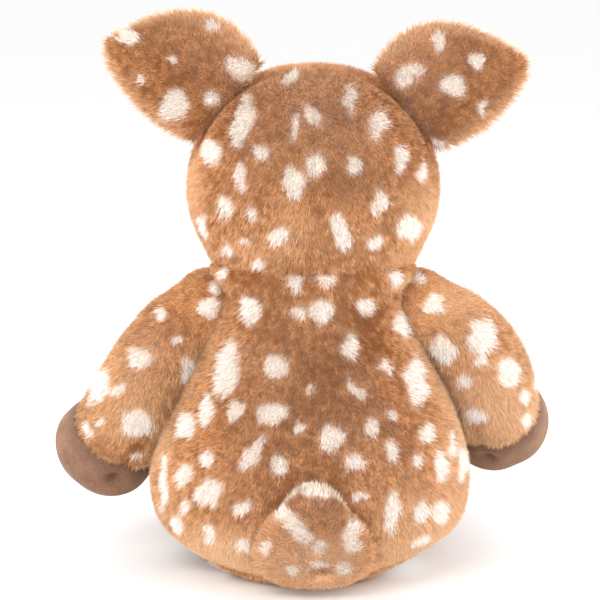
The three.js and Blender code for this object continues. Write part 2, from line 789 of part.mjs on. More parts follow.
addPiece(model, 'body_skin_left', bodySides.intersect(leftHalf), spottedFur);
addPiece(model, 'body_skin_right', bodySides.intersect(rightHalf), spottedFur);
addPiece(model, 'belly_panel', bodySkin.intersect(bellyCutter(0)), creamFur);
addPiece(model, 'seat_panel', bodySkin.intersect(underSeatSeam), spottedFur);
addPiece(model, 'body_stuffing', bodyCore, fibre);
addPiece(model, 'pellet_pouch', cut(pouchForm(0), pouchForm(-pouchCloth), pouchMouth), pouchFabric);
addPiece(model, 'pellet_fill', pouchForm(-pouchCloth - touch), pelletPlastic);

const neck = hang(model, headMiddle);
addPiece(neck, 'neck_stuffing', neckPlug(neckPlugRadius, 0), fibre);

const head = hang(neck, headMiddle);
addPiece(head, 'head_skin_left', headSkin.intersect(leftHalf), spottedFur);
addPiece(head, 'head_skin_right', headSkin.intersect(rightHalf), spottedFur);
addPiece(head, 'head_stuffing', cut(headCore, ...earSeats, ...eyePockets), fibre);
addPiece(head, 'muzzle_skin', muzzleSkin, creamFur);
addPiece(head, 'nose', nosePiece(), noseVelour);
for (const [name, eye] of Object.entries(eyes)) {
  addPiece(head, name, eye.dome(), eyePlastic);
  addPiece(head, `${name}_washer`, eye.washer(), washerPlastic);
}

for (const [name, ear] of Object.entries(ears)) {
  const group = hang(head, ear.root);
  addPiece(group, `${name}_back`, ear.behind(ear.whole()), spottedFur);
  addPiece(group, `${name}_lining`, ear.inFront(ear.whole()), creamFur);
}

for (const [name, limb] of Object.entries(limbs)) {
  const group = hang(model, limb.root);
  const { sleeve, hoof, stuffing } = limb.pieces();
  addPiece(group, `${name}_sleeve`, sleeve, spottedFur);
  addPiece(group, `${name}_hoof`, hoof, suede);
  addPiece(group, `${name}_stuffing`, stuffing, fibre);
}

const tailGroup = hang(model, tail.root);
const tailSkin = tail.whole().subtract(tail.inside(skin));
addPiece(tailGroup, 'tail_back', tail.behind(tailSkin), spottedFur);
addPiece(tailGroup, 'tail_lining', tail.inFront(tailSkin), creamFur);
addPiece(tailGroup, 'tail_stuffing', tail.inside(skin + touch), fibre);

export default model;
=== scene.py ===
# %% [markdown]
# # A plush fawn, seen from behind
#
# The toy sits on its own base. Spotted fur panels are sewn into a round body, a round head, two arms, two
# legs, two ears and a tail, and the hooves are suede cloth. Each piece here lies over one solid of the packed
# model, in metres: Z is up, the fawn looks along -Y, and its own left side is +X.
#
# The fur is the hard part. Its pile is real geometry: a small needle for each lock of hair, hundreds of
# thousands of them, planted by Geometry Nodes on a smooth cloth skin. So this lesson first makes the skins,
# combs and paints them with attributes, and then lets one node tree grow the pile on them all.

# %% Load the imported fawn
import math

import bmesh
import bpy
import numpy as np
from mathutils import Matrix, Vector, bvhtree, noise


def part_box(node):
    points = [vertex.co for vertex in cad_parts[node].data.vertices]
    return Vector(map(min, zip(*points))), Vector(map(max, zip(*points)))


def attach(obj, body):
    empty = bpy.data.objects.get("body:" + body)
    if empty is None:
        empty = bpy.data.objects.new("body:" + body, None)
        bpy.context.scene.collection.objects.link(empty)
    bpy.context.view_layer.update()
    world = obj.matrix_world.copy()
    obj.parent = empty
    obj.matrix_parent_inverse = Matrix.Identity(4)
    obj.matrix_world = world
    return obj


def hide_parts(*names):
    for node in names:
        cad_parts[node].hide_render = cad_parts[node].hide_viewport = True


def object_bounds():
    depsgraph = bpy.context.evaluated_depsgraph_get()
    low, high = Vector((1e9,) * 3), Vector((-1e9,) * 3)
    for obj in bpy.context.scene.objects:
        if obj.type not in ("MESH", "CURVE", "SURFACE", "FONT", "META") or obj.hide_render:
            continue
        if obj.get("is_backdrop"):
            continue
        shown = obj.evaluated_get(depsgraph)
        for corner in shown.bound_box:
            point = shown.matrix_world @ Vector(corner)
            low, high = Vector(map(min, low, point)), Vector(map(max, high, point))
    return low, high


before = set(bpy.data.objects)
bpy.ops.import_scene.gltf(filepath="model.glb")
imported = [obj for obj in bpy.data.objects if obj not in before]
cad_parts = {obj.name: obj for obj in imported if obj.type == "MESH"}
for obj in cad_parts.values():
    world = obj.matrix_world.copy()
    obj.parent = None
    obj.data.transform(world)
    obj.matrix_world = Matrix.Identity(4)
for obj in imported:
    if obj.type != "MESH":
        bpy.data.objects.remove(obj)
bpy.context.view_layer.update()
MM = 0.001

# %% [markdown]
# ## Camera, light and floor
#
# The photograph looks at the toy's back from a little above, with a long lens and no shadow to speak of. One
# photograph pixel is 0.52 mm at the toy, so the middle of the picture is a known point of the toy, and the
# camera looks straight at it.

# %% Camera at the photograph's place
PIXEL = 0.52 * MM
PICTURE = 600
CAMERA_DISTANCE = 1.4
CAMERA_ELEVATION = math.radians(8)
SEAT_PIXEL = (313, 565)  # where the photograph shows the middle of the seat, at floor height

towards_camera = Vector((0, math.cos(CAMERA_ELEVATION), math.sin(CAMERA_ELEVATION)))
camera_up = Vector((0, -math.sin(CAMERA_ELEVATION), math.cos(CAMERA_ELEVATION)))
picture_middle = (Vector(((SEAT_PIXEL[0] - PICTURE / 2) * PIXEL, 0, 0))
                  + camera_up * (SEAT_PIXEL[1] - PICTURE / 2) * PIXEL)
lens = bpy.data.cameras.new("camera")
lens.sensor_width = 36
lens.lens = lens.sensor_width * CAMERA_DISTANCE / (PICTURE * PIXEL)
lens.clip_start, lens.clip_end = 0.05, 50
camera = bpy.data.objects.new("camera", lens)
bpy.context.collection.objects.link(camera)
camera.matrix_world = (Matrix.Translation(picture_middle + towards_camera * CAMERA_DISTANCE)
                       @ Matrix((Vector((-1, 0, 0)), camera_up, towards_camera)).transposed().to_4x4())
bpy.context.scene.camera = camera
print("lens", round(lens.lens, 1), "mm")


def photo_place(points):
    """Where points of the toy lie in the photograph, in pixels."""
    place = np.asarray(camera.matrix_world.inverted(), float)
    seen = np.asarray(points) @ place[:3, :3].T + place[:3, 3]
    scale = lens.lens / lens.sensor_width * PICTURE / -seen[:, 2:]
    return PICTURE / 2 + seen[:, :2] * scale * (1, -1)


# %% Floor and soft light
def lamp(name, place, size, power):
    light = bpy.data.lights.new(name, "AREA")
    light.shape, light.size, light.energy = "DISK", size, power
    holder = bpy.data.objects.new(name, light)
    bpy.context.collection.objects.link(holder)
    holder.location = place
    aim = Vector((0, 0, 0.13)) - holder.location
    holder.rotation_euler = aim.to_track_quat("-Z", "Y").to_euler()
    return holder


world = bpy.data.worlds.new("studio")
bpy.context.scene.world = world
world.use_nodes = True
world.node_tree.nodes["Background"].inputs["Color"].default_value = (1, 1, 1, 1)
world.node_tree.nodes["Background"].inputs["Strength"].default_value = 1.0
bpy.context.scene.view_settings.view_transform = "Standard"
lamp("key_light", (0.7, 1.6, 1.5), 1.2, 13)
lamp("left_light", (1.7, -0.3, 0.7), 1.2, 13)
lamp("right_light", (-1.7, -0.3, 0.7), 1.2, 18)
lamp("front_light", (-0.5, -1.8, 1.2), 1.4, 6)
lamp("low_light", (0.0, 2.1, 0.3), 1.4, 16)

floor_bm = bmesh.new()
bmesh.ops.create_grid(floor_bm, x_segments=1, y_segments=1, size=30)
floor_mesh = bpy.data.meshes.new("floor")
floor_bm.to_mesh(floor_mesh)
floor_bm.free()
floor = bpy.data.objects.new("floor", floor_mesh)
bpy.context.collection.objects.link(floor)
pale = bpy.data.materials.new("pale_floor")
pale.use_nodes = True
pale_shader = pale.node_tree.nodes["Principled BSDF"]
pale_shader.inputs["Base Color"].default_value = (0.97, 0.97, 0.97, 1)
pale_shader.inputs["Roughness"].default_value = 0.9
floor_mesh.materials.append(pale)
floor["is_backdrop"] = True

# %% [markdown]
# ## Smooth lines and skins
#
# A stuffed piece is round everywhere, so its skin is drawn as a smooth line through a few measured stations
# and turned or bent into shape. Spin turns a profile round an axis. A limb is turned straight and then bent
# along its spine, as an arm of cloth takes its bend only when it is stuffed.


# %% A smooth curve through points
def through(points, steps):
    """A smooth curve through the points, as a list of steps + 1 vectors, evenly far apart."""
    points = [Vector(p) for p in points]
    points = [2 * points[0] - points[1], *points, 2 * points[-1] - points[-2]]
    line = []
    for a, b, c, d in zip(points, points[1:], points[2:], points[3:]):
        before, between, after = (max((q - p).length, 1e-9) ** 0.5 for p, q in ((a, b), (b, c), (c, d)))
        leave = ((b - a) / before - (c - a) / (before + between) + (c - b) / between) * between
        arrive = ((c - b) / between - (d - b) / (between + after) + (d - c) / after) * between
        for step in range(32):
            t = step / 32
            line.append(b * (2 * t ** 3 - 3 * t ** 2 + 1) + leave * (t ** 3 - 2 * t ** 2 + t)
                        + c * (3 * t ** 2 - 2 * t ** 3) + arrive * (t ** 3 - t ** 2))
    line.append(points[-2])
    far = np.concatenate([[0], np.cumsum([(q - p).length for p, q in zip(line, line[1:])])])
    wanted = np.linspace(0, far[-1], steps + 1)
    return [Vector(np.interp(w, far, [p[i] for p in line]) for i in range(3)) for w in wanted]


# %% Turning a profile, and keeping part of a skin
def turned(profile, around):
    """A closed skin, turned round Z from a profile of (radius, height), the lowest first."""
    bm = bmesh.new()
    line = [bm.verts.new((radius, 0, height)) for radius, height in profile]
    edges = [bm.edges.new(pair) for pair in zip(line, line[1:])]
    bmesh.ops.spin(bm, geom=line + edges, cent=(0, 0, 0), axis=(0, 0, 1), angle=2 * math.pi,
                   steps=around, use_merge=True)
    bmesh.ops.remove_doubles(bm, verts=bm.verts, dist=0.01 * MM)
    bmesh.ops.recalc_face_normals(bm, faces=bm.faces)
    return bm


def moved(bm, place):
    """Each point of a closed skin put where the function says, and the skin's faces turned outward."""
    for vert in bm.verts:
        vert.co = place(vert.co.copy())
    bmesh.ops.recalc_face_normals(bm, faces=bm.faces)
    if bm.calc_volume(signed=True) < 0:
        bmesh.ops.reverse_faces(bm, faces=bm.faces)
    bm.normal_update()
    return bm


def part_of(bm, keep):
    """A copy of a skin with only the faces whose middles pass the test."""
    part = bm.copy()
    bmesh.ops.delete(part, geom=[f for f in part.faces if not keep(f.calc_center_median())], context="FACES")
    return part


# %% [markdown]
# ## Spots
#
# Fawn spots are dyed into the pile. Those that the photograph shows are listed by where they lie in it, as
# pixels: middle, half width, half height, and the lean of the long axis to the right of upright. The sides
# that it doesn't show get spots of the same size from a cell pattern.

# %% The spots that the photograph shows
BODY_SPOTS = [
    (248, 312, 12, 13, 0), (225, 368, 12, 28, 8), (275, 369, 12, 11, 0), (204, 411, 9, 15, 0),
    (183, 426, 9, 14, 0), (233, 413, 6, 12, 10), (272, 415, 15, 9, -10), (313, 392, 5, 4, 0),
    (300, 432, 8, 6, 0), (332, 439, 14, 12, 30), (250, 458, 7, 20, 35), (205, 460, 8, 9, 0),
    (279, 468, 8, 10, 0), (181, 478, 8, 10, 0), (207, 496, 13, 13, 0), (240, 510, 10, 6, 0),
    (185, 509, 5, 8, 0), (176, 529, 6, 10, 0), (210, 538, 7, 10, 0), (242, 550, 8, 8, 0),
    (162, 484, 5, 28, 0), (198, 558, 8, 6, 0), (296, 281, 9, 14, 0), (325, 280, 13, 8, 0),
    (322, 313, 11, 12, 20), (298, 315, 9, 7, 0), (367, 308, 9, 8, 0), (351, 349, 9, 13, 0),
    (388, 369, 9, 7, 30), (418, 383, 10, 24, -6), (358, 391, 5, 12, -55), (395, 419, 8, 6, 0),
    (373, 430, 6, 9, 0), (431, 436, 8, 11, 0), (392, 454, 7, 11, 0), (418, 462, 6, 9, 0),
    (443, 468, 6, 16, 5), (358, 466, 10, 8, 0), (464, 466, 6, 17, 0), (405, 325, 8, 13, -15),
    (393, 515, 8, 20, 10), (423, 515, 8, 12, 0), (444, 515, 6, 13, 0), (423, 544, 11, 6, -20),
    (359, 500, 8, 7, 0), (455, 445, 4, 13, 0), (220, 275, 7, 9, 0), (400, 280, 8, 9, 0),
]
TAIL_SPOTS = [
    (296, 526, 9, 22, -38), (354, 534, 9, 17, -8), (263, 547, 7, 10, 0), (290, 572, 6, 6, 0),
    (345, 568, 7, 6, 0), (281, 512, 8, 8, 0), (322, 548, 6, 7, 0), (311, 489, 21, 6, 12),
    (322, 565, 13, 4, 0),
]
ARM_LEFT_SPOTS = [
    (158, 316, 7, 9, 0), (137, 360, 12, 11, 0), (97, 388, 9, 17, 20), (116, 393, 8, 7, 0),
    (136, 426, 17, 14, 10), (207, 310, 11, 11, 0), (189, 375, 9, 13, 0), (214, 286, 7, 9, 0),
    (87, 431, 5, 8, 0), (136, 459, 8, 4, 0), (100, 424, 4, 4, 0), (176, 342, 5, 5, 0),
]
ARM_RIGHT_SPOTS = [
    (437, 307, 12, 10, 0), (484, 338, 15, 20, 15), (446, 353, 13, 12, 0), (510, 374, 12, 14, 0),
    (482, 366, 8, 5, 0), (526, 397, 6, 7, 0), (463, 386, 6, 7, 0), (476, 419, 11, 8, 0),
    (528, 423, 8, 6, 0), (420, 276, 11, 7, 0), (539, 381, 4, 10, 0),
]
HEAD_SPOTS = [
    (208, 153, 11, 13, 0), (242, 120, 10, 26, 14), (292, 76, 5, 12, 55), (294, 126, 5, 14, 10),
    (313, 115, 7, 14, -40), (352, 98, 7, 16, 0), (381, 123, 9, 16, 12), (261, 155, 9, 11, 0),
    (238, 178, 6, 16, -4), (225, 212, 10, 11, 20), (251, 214, 4, 7, 0), (293, 187, 8, 18, 0),
    (314, 168, 9, 12, 10), (353, 169, 9, 8, 0), (400, 161, 7, 14, 0), (424, 174, 5, 12, 0),
    (381, 206, 7, 12, 10), (279, 241, 11, 9, 0), (242, 244, 4, 4, 0), (342, 234, 9, 17, -15),
    (376, 246, 7, 5, 0), (411, 230, 14, 12, 0), (226, 254, 6, 8, 0), (203, 228, 5, 14, 0),
    (258, 266, 5, 7, 0),
]
EAR_LEFT_SPOTS = [
    (126, 33, 11, 11, 0), (212, 24, 9, 7, 0), (171, 58, 6, 5, 0), (137, 78, 6, 6, 0),
    (171, 107, 13, 14, 0), (242, 68, 18, 12, 30), (212, 98, 8, 8, 0),
]
EAR_RIGHT_SPOTS = [
    (440, 41, 6, 10, 10), (478, 62, 6, 7, 0), (408, 74, 14, 10, -20), (456, 87, 12, 11, 0),
    (486, 106, 6, 7, 0), (440, 146, 7, 7, 0), (403, 115, 7, 7, 0),
]
print(sum(map(len, (BODY_SPOTS, TAIL_SPOTS, ARM_LEFT_SPOTS, ARM_RIGHT_SPOTS, HEAD_SPOTS,
                    EAR_LEFT_SPOTS, EAR_RIGHT_SPOTS))), "spots by hand")

# %% Painting spots on a skin
SPOT_CELL = 27 * MM
SPOT_RADIUS = 8 * MM
RAGGED = 3.2 * MM  # how far a spot's outline wanders


def soft_step(value, low, high):
    share = np.clip((np.asarray(value, float) - low) / (high - low), 0, 1)
    return share * share * (3 - 2 * share)


def spotted(points, normals, listed):
    """How far each point lies in a spot, from 0 to 1. Where the skin turns away from the camera, a spot is no
    longer on the skin than the photograph shows it tall, so it doesn't smear along the toy's side."""
    away = normals @ np.asarray(towards_camera) < 0
    ragged = np.array([noise.noise_vector(Vector(p) * 130) for p in points])
    pixels = photo_place(np.asarray(points) + ragged * RAGGED)
    shown = np.zeros(len(points))
    for across, down, half_width, half_height, lean in listed:
        turn = math.radians(lean)
        off = pixels - (across, down)
        side = (off[:, 0] * math.cos(turn) + off[:, 1] * math.sin(turn)) / half_width
        long = (off[:, 1] * math.cos(turn) - off[:, 0] * math.sin(turn)) / half_height
        flat = np.hypot(side, long)
        middle = points[np.argmin(flat + 9 * away)]
        skin_way = np.linalg.norm(points - middle, axis=1) / (1.6 * max(half_width, half_height) * PIXEL)
        shown = np.maximum(shown, 1 - soft_step(np.maximum(flat, skin_way), 0.35, 1.6))
    hidden = np.zeros(len(points))
    for i, point in enumerate(points):
        found, places = noise.voronoi(Vector(point) / SPOT_CELL)
        size = 0.55 + 0.6 * noise.cell(places[0] * 7.3)
        hidden[i] = 1 - soft_step(found[0] * SPOT_CELL / (SPOT_RADIUS * max(size, 0.4)), 0.55, 1.2)
    facing = soft_step(normals @ np.asarray(towards_camera), -0.12, 0.08) if listed else 0
    return shown * facing + hidden * (1 - facing)


# %% [markdown]
# The ground between the spots is painted paler or darker in broad areas. Part of it is mottling of the dye,
# and part is painted light and shade: paler where the flanks, the arms and the base catch the light, darker in
# the middle of the back, the head and the ears, and a dark line of painted shade at the foot of the tail. Those
# are listed the same way as the spots, with how much paler each is than the mean, or darker where the number is
# negative.

# %% Painted light and shade, and broad tones of the ground
LIT_AND_MOTTLED_AREAS = [
    (185, 88, 46, 32, -0.8), (446, 84, 32, 40, -0.75), (345, 184, 36, 26, -1.1), (376, 325, 22, 36, -0.6),
    (338, 364, 34, 34, -0.8), (240, 300, 34, 24, -0.4), (238, 412, 26, 22, -0.4), (290, 425, 60, 34, -0.35),
    (120, 400, 34, 52, 0.6), (500, 415, 52, 52, 0.85), (462, 300, 30, 28, 0.7), (425, 210, 22, 32, 0.7),
    (262, 262, 30, 14, 0.3), (300, 235, 24, 22, 0.4), (300, 82, 44, 18, 0.3), (320, 568, 120, 36, 1.1),
    (205, 560, 42, 32, 0.7), (435, 520, 40, 42, 0.6), (150, 350, 20, 30, 0.3), (323, 572, 11, 3, -1.6),
    (330, 495, 22, 16, -0.4), (325, 525, 20, 16, -0.3), (366, 240, 34, 22, 0.2), (375, 264, 28, 14, 0.1),
    (165, 475, 12, 70, 0.3), (458, 475, 12, 60, 0.4), (194, 200, 10, 40, 0.3), (225, 515, 22, 14, -0.6),
    (270, 520, 14, 14, 0.4), (240, 350, 20, 26, 0.2), (410, 345, 20, 30, 0.2),
]


def lit_and_mottled_tone(points, normals, listed):
    """How much paler than the mean the ground is painted at each point, or darker below zero: painted light and shade,
    mixed with mottling of the dye.
    """
    pixels = photo_place(points)
    shown = np.zeros(len(points))
    for across, down, half_width, half_height, amount in LIT_AND_MOTTLED_AREAS:
        off = (pixels - (across, down)) / (half_width, half_height)
        shown += amount * np.exp(-np.sum(off ** 2, axis=1))
    hidden = np.array([noise.noise(Vector(p) * 24) * 1.1 for p in points])
    facing = soft_step(normals @ np.asarray(towards_camera), -0.12, 0.08) if listed else 0
    return np.clip(shown * facing + hidden * (1 - facing), -1, 1)


# %% [markdown]
# ## Pile
#
# A lock of fur is one thin needle of three sides, so it looks as wide from every side and never turns a dark
# back to the light, as a flat blade does. Distribute Points on Faces plants the locks. Each takes its lean
# from the skin's normal, the combed direction painted on the skin, a slow noise that brushes neighbours the
# same way, and the middle of the tuft that it stands in. Its normals are mixed with the skin's own, because
# light goes deep into real pile and comes back soft.


# %% One lock
def needle():
    bm = bmesh.new()
    bmesh.ops.create_cone(bm, cap_ends=False, segments=3, radius1=0.5, radius2=0, depth=1)
    bmesh.ops.translate(bm, verts=bm.verts, vec=(0, 0, 0.5))
    bmesh.ops.remove_doubles(bm, verts=bm.verts, dist=1e-4)
    bmesh.ops.recalc_face_normals(bm, faces=bm.faces)
    tip = bm.verts.layers.float.new("tip")
    chart = bm.loops.layers.uv.new("lock_map")
    for vert in bm.verts:
        vert[tip] = vert.co.z
    for face in bm.faces:
        for loop in face.loops:
            loop[chart].uv = loop.vert.co.xy + Vector((0.5, 0.5))
    mesh = bpy.data.meshes.new("lock")
    bm.to_mesh(mesh)
    bm.free()
    return bpy.data.objects.new("lock", mesh)


one_lock = needle()
print("a lock has", len(one_lock.data.polygons), "faces and", len(one_lock.data.vertices), "points")


# %% The node tree that grows the pile
WAVES_PER_M = 60.0
TUFTS_PER_M = 230.0
SOFT_LIGHT = 1.3  # how much of the skin's normal a lock takes on
LOCK_CHART = 0.86  # the share of a piece's map that its locks take


class Tree:
    """A short way to add nodes to a tree and to join them."""

    def __init__(self, tree):
        self.tree = tree

    def add(self, kind, settings=None, outlet=0, **inlets):
        node = self.tree.nodes.new(kind)
        for key, value in (settings or {}).items():
            setattr(node, key, value)
        for key, value in inlets.items():
            index = int(key[1:]) if key[0] == "i" and key[1:].isdigit() else key.replace("_", " ")
            self.put(node.inputs[index], value)
        return node.outputs[outlet]

    def put(self, socket, value):
        if isinstance(value, bpy.types.NodeSocket):
            self.tree.links.new(value, socket)
        else:
            socket.default_value = value

    def math(self, operation, a, b=0.0):
        return self.add("ShaderNodeMath", {"operation": operation}, i0=a, i1=b)

    def vector(self, operation, a, b=(0, 0, 0), outlet=0):
        return self.add("ShaderNodeVectorMath", {"operation": operation}, outlet, i0=a, i1=b)

    def scaled(self, a, share):
        node = self.tree.nodes.new("ShaderNodeVectorMath")
        node.operation = "SCALE"
        self.put(node.inputs[0], a)
        self.put(node.inputs["Scale"], share)
        return node.outputs[0]

    def named(self, name, kind="FLOAT"):
        return self.add("GeometryNodeInputNamedAttribute", {"data_type": kind}, Name=name)

    def store(self, geometry, name, value, kind="FLOAT", domain="POINT"):
        return self.add("GeometryNodeStoreNamedAttribute", {"data_type": kind, "domain": domain},
                        Geometry=geometry, Name=name, Value=value)

    def chance(self, low, high, seed):
        return self.add("FunctionNodeRandomValue", {"data_type": "FLOAT"}, 1, i2=low, i3=high, Seed=seed)


def pile_tree():
    tree = bpy.data.node_groups.new("pile", "GeometryNodeTree")
    sockets = {}
    for name, kind in (("Skin", "Geometry"), ("Lock", "Object"), ("Locks", "Float"), ("Length", "Float"),
                       ("Width", "Float"), ("Lean", "Float"), ("Wave", "Float"), ("Tuft", "Float"),
                       ("Tangle", "Float"), ("Wall", "Float"), ("Seed", "Int")):
        sockets[name] = tree.interface.new_socket(name, in_out="INPUT", socket_type=f"NodeSocket{kind}")
    tree.interface.new_socket("Fur", in_out="OUTPUT", socket_type="NodeSocketGeometry")
    t = Tree(tree)
    given = {s.name: s for s in tree.nodes.new("NodeGroupInput").outputs}
    seed = given["Seed"]

    plant = tree.nodes.new("GeometryNodeDistributePointsOnFaces")
    t.put(plant.inputs["Mesh"], given["Skin"])
    t.put(plant.inputs["Density"], t.math("MULTIPLY", given["Locks"], t.named("grow")))
    t.put(plant.inputs["Seed"], seed)
    normal, comb = plant.outputs["Normal"], t.named("comb", "FLOAT_VECTOR")
    place = t.add("GeometryNodeInputPosition")

    slow = t.add("ShaderNodeTexNoise", None, 1, Vector=place, Scale=WAVES_PER_M, Detail=2.0)
    slow = t.vector("SUBTRACT", slow, (0.5, 0.5, 0.5))
    tufts = t.add("ShaderNodeTexVoronoi", None, 2, Vector=place, Scale=TUFTS_PER_M)
    gather = t.vector("SUBTRACT", tufts, place)
    gather = t.vector("SUBTRACT", gather, t.scaled(normal, t.vector("DOT_PRODUCT", gather, normal, outlet=1)))
    loose = t.add("FunctionNodeRandomValue", {"data_type": "FLOAT_VECTOR"}, 0, i0=(-1, -1, -1),
                  i1=(1, 1, 1), Seed=seed)
    aim = t.vector("ADD", normal, t.scaled(comb, given["Lean"]))
    aim = t.vector("ADD", aim, t.scaled(slow, given["Wave"]))
    aim = t.vector("ADD", aim, t.scaled(gather, t.math("DIVIDE", given["Tuft"], given["Length"])))
    aim = t.vector("ADD", aim, t.scaled(loose, given["Tangle"]))
    turn = t.add("FunctionNodeAlignRotationToVector", {"axis": "Z"}, Vector=aim)

    shade = t.chance(0.0, 1.0, t.math("ADD", seed, 3.0))
    spot = t.math("ADD", t.named("spot"), t.math("MULTIPLY", t.math("SUBTRACT", shade, 0.5), 0.3))
    spot = t.add("ShaderNodeMapRange", {"interpolation_type": "SMOOTHSTEP"}, Value=spot,
                 From_Min=0.2, From_Max=0.68)
    locks = plant.outputs["Points"]
    count = t.add("GeometryNodeAttributeDomainSize", {"component": "POINTCLOUD"}, Geometry=locks)
    row = t.math("CEIL", t.math("SQRT", count))
    index = t.add("GeometryNodeInputIndex")
    cell = t.add("ShaderNodeCombineXYZ", X=t.math("MODULO", index, row),
                 Y=t.math("FLOOR", t.math("DIVIDE", index, row)), Z=row)
    for name, value, kind in (("dye", spot, "FLOAT"), ("shade", shade, "FLOAT"),
                              ("under", normal, "FLOAT_VECTOR"), ("cell", cell, "FLOAT_VECTOR")):
        locks = t.store(locks, name, value, kind)

    length = t.math("MULTIPLY", given["Length"], t.math("MULTIPLY", t.named("long"),
                    t.chance(0.7, 1.1, t.math("ADD", seed, 1.0))))
    width = t.math("MULTIPLY", given["Width"], t.chance(0.7, 1.3, t.math("ADD", seed, 2.0)))
    size = t.add("ShaderNodeCombineXYZ", X=width, Y=width, Z=length)
    stem = t.add("GeometryNodeObjectInfo", None, "Geometry", Object=given["Lock"])
    fur = t.add("GeometryNodeInstanceOnPoints", Points=locks, Instance=stem, Rotation=turn, Scale=size)
    fur = t.add("GeometryNodeRealizeInstances", Geometry=fur)

    stored = t.add("ShaderNodeSeparateXYZ", Vector=t.named("cell", "FLOAT_VECTOR")).node.outputs
    flat = t.add("ShaderNodeSeparateXYZ", Vector=t.named("lock_map", "FLOAT_VECTOR")).node.outputs
    pair = [t.math("DIVIDE", t.math("ADD", stored[axis], flat[axis]), stored[2]) for axis in (0, 1)]
    chart = t.add("ShaderNodeCombineXYZ", X=pair[0], Y=t.math("MULTIPLY", pair[1], LOCK_CHART))
    fur = t.store(fur, "OFBake", chart, "FLOAT2", "CORNER")
    own = t.add("GeometryNodeInputNormal")
    fur = t.store(fur, "soft", t.vector("ADD", own, t.scaled(t.named("under", "FLOAT_VECTOR"), SOFT_LIGHT)),
                  "FLOAT_VECTOR")

    where = t.add("ShaderNodeSeparateXYZ", Vector=place).node.outputs
    pressed = t.add("ShaderNodeCombineXYZ", X=where[0], Y=where[1], Z=t.math("MAXIMUM", where[2], 0.25 * MM))
    fur = t.add("GeometryNodeSetPosition", Geometry=fur, Position=pressed)

    inner = t.add("GeometryNodeExtrudeMesh", {"mode": "FACES"}, Mesh=given["Skin"],
                  Offset_Scale=t.math("MULTIPLY", given["Wall"], -1.0), Individual=False)
    inner = t.add("GeometryNodeFlipFaces", Mesh=inner)
    wall = tree.nodes.new("GeometryNodeJoinGeometry")
    tree.links.new(inner, wall.inputs[0])
    tree.links.new(given["Skin"], wall.inputs[0])
    wall = t.add("GeometryNodeMergeByDistance", Geometry=wall.outputs[0], Distance=0.001 * MM)
    wall = t.add("GeometryNodeSetShadeSmooth", Geometry=wall)
    wall = t.store(wall, "dye", t.named("spot"))
    wall = t.store(wall, "shade", 0.5)
    wall = t.store(wall, "tip", 0.35)
    wall = t.store(wall, "soft", t.add("GeometryNodeInputNormal"), "FLOAT_VECTOR")
    joined = tree.nodes.new("GeometryNodeJoinGeometry")
    tree.links.new(fur, joined.inputs[0])
    tree.links.new(wall, joined.inputs[0])
    fur = t.add("GeometryNodeSetMeshNormal", {"mode": "FREE"}, Mesh=joined.outputs[0],
                Custom_Normal=t.named("soft", "FLOAT_VECTOR"))
    for name in ("under", "soft", "cell", "lock_map", "comb", "grow", "long", "spot"):
        fur = t.add("GeometryNodeRemoveAttribute", Geometry=fur, Name=name)
    tree.links.new(fur, tree.nodes.new("NodeGroupOutput").inputs[0])
    return tree, {name: socket.identifier for name, socket in sockets.items()}


pile, pile_sockets = pile_tree()
print("pile tree has", len(pile.nodes), "nodes")

# %% [markdown]
# ## Fur, cloth and plastic finishes
#
# Dyed fur is darkest where its locks meet the cloth and palest at their tips, and no two locks have quite the
# same tone. The blades carry that as attributes: how far along the lock a point is, the lock's own shade, and
# whether it stands in a spot. One node group mixes the colour from them, for the spotted and the cream fur.


# %% A node group for the colour of a lock
def lock_colour():
    group = bpy.data.node_groups.new("lock_colour", "ShaderNodeTree")
    for name, kind in (("Root", "Color"), ("Middle", "Color"), ("Tip", "Color"), ("Spot Root", "Color"),
                       ("Spot Tip", "Color"), ("Patch", "Float"), ("Patch Colour", "Color")):
        group.interface.new_socket(name, in_out="INPUT", socket_type=f"NodeSocket{kind}")
    group.interface.new_socket("Colour", in_out="OUTPUT", socket_type="NodeSocketColor")
    t = Tree(group)
    given = {s.name: s for s in group.nodes.new("NodeGroupInput").outputs}

    def mixed(share, a, b):
        return t.add("ShaderNodeMix", {"data_type": "RGBA"}, 2, i0=share, i6=a, i7=b)

    tip = t.add("ShaderNodeAttribute", {"attribute_name": "tip"}, 2)
    dye = t.add("ShaderNodeAttribute", {"attribute_name": "dye"}, 2)
    shade = t.add("ShaderNodeAttribute", {"attribute_name": "shade"}, 2)
    low = t.add("ShaderNodeMapRange", {"interpolation_type": "SMOOTHSTEP"}, Value=tip, From_Max=0.45)
    high = t.add("ShaderNodeMapRange", Value=tip, From_Min=0.4)
    # the tone attribute is painted light and shade, mixed with mottling of the dye
    painted_light_and_mottling = t.add("ShaderNodeAttribute", {"attribute_name": "tone"}, 2)
    coat = mixed(low, given["Root"], given["Middle"])
    coat = mixed(t.math("MULTIPLY", high, t.math("ADD", t.math("MULTIPLY", shade, 0.7), 0.3)), coat,
                 given["Tip"])
    # below zero, painted shade darkens the coat towards the patch colour along with the random patches; above zero,
    # painted light pales it towards the tip colour
    dark = t.math("SUBTRACT", given["Patch"], t.math("MULTIPLY", painted_light_and_mottling, 0.6))
    coat = mixed(dark, coat, given["Patch Colour"])
    coat = mixed(t.math("MULTIPLY", painted_light_and_mottling, 0.5), coat, given["Tip"])
    spot = mixed(low, given["Spot Root"], given["Spot Tip"])
    colour = mixed(dye, coat, spot)
    tone = t.math("ADD", t.math("MULTIPLY", shade, 0.44), 0.8)
    colour = t.vector("MULTIPLY", colour, t.add("ShaderNodeCombineXYZ", X=tone, Y=tone, Z=tone))
    group.links.new(colour, group.nodes.new("NodeGroupOutput").inputs[0])
    return group


lock_group = lock_colour()


# %% Fur materials
def shader_of(material):
    material.use_nodes = True
    return material.node_tree.nodes["Principled BSDF"]


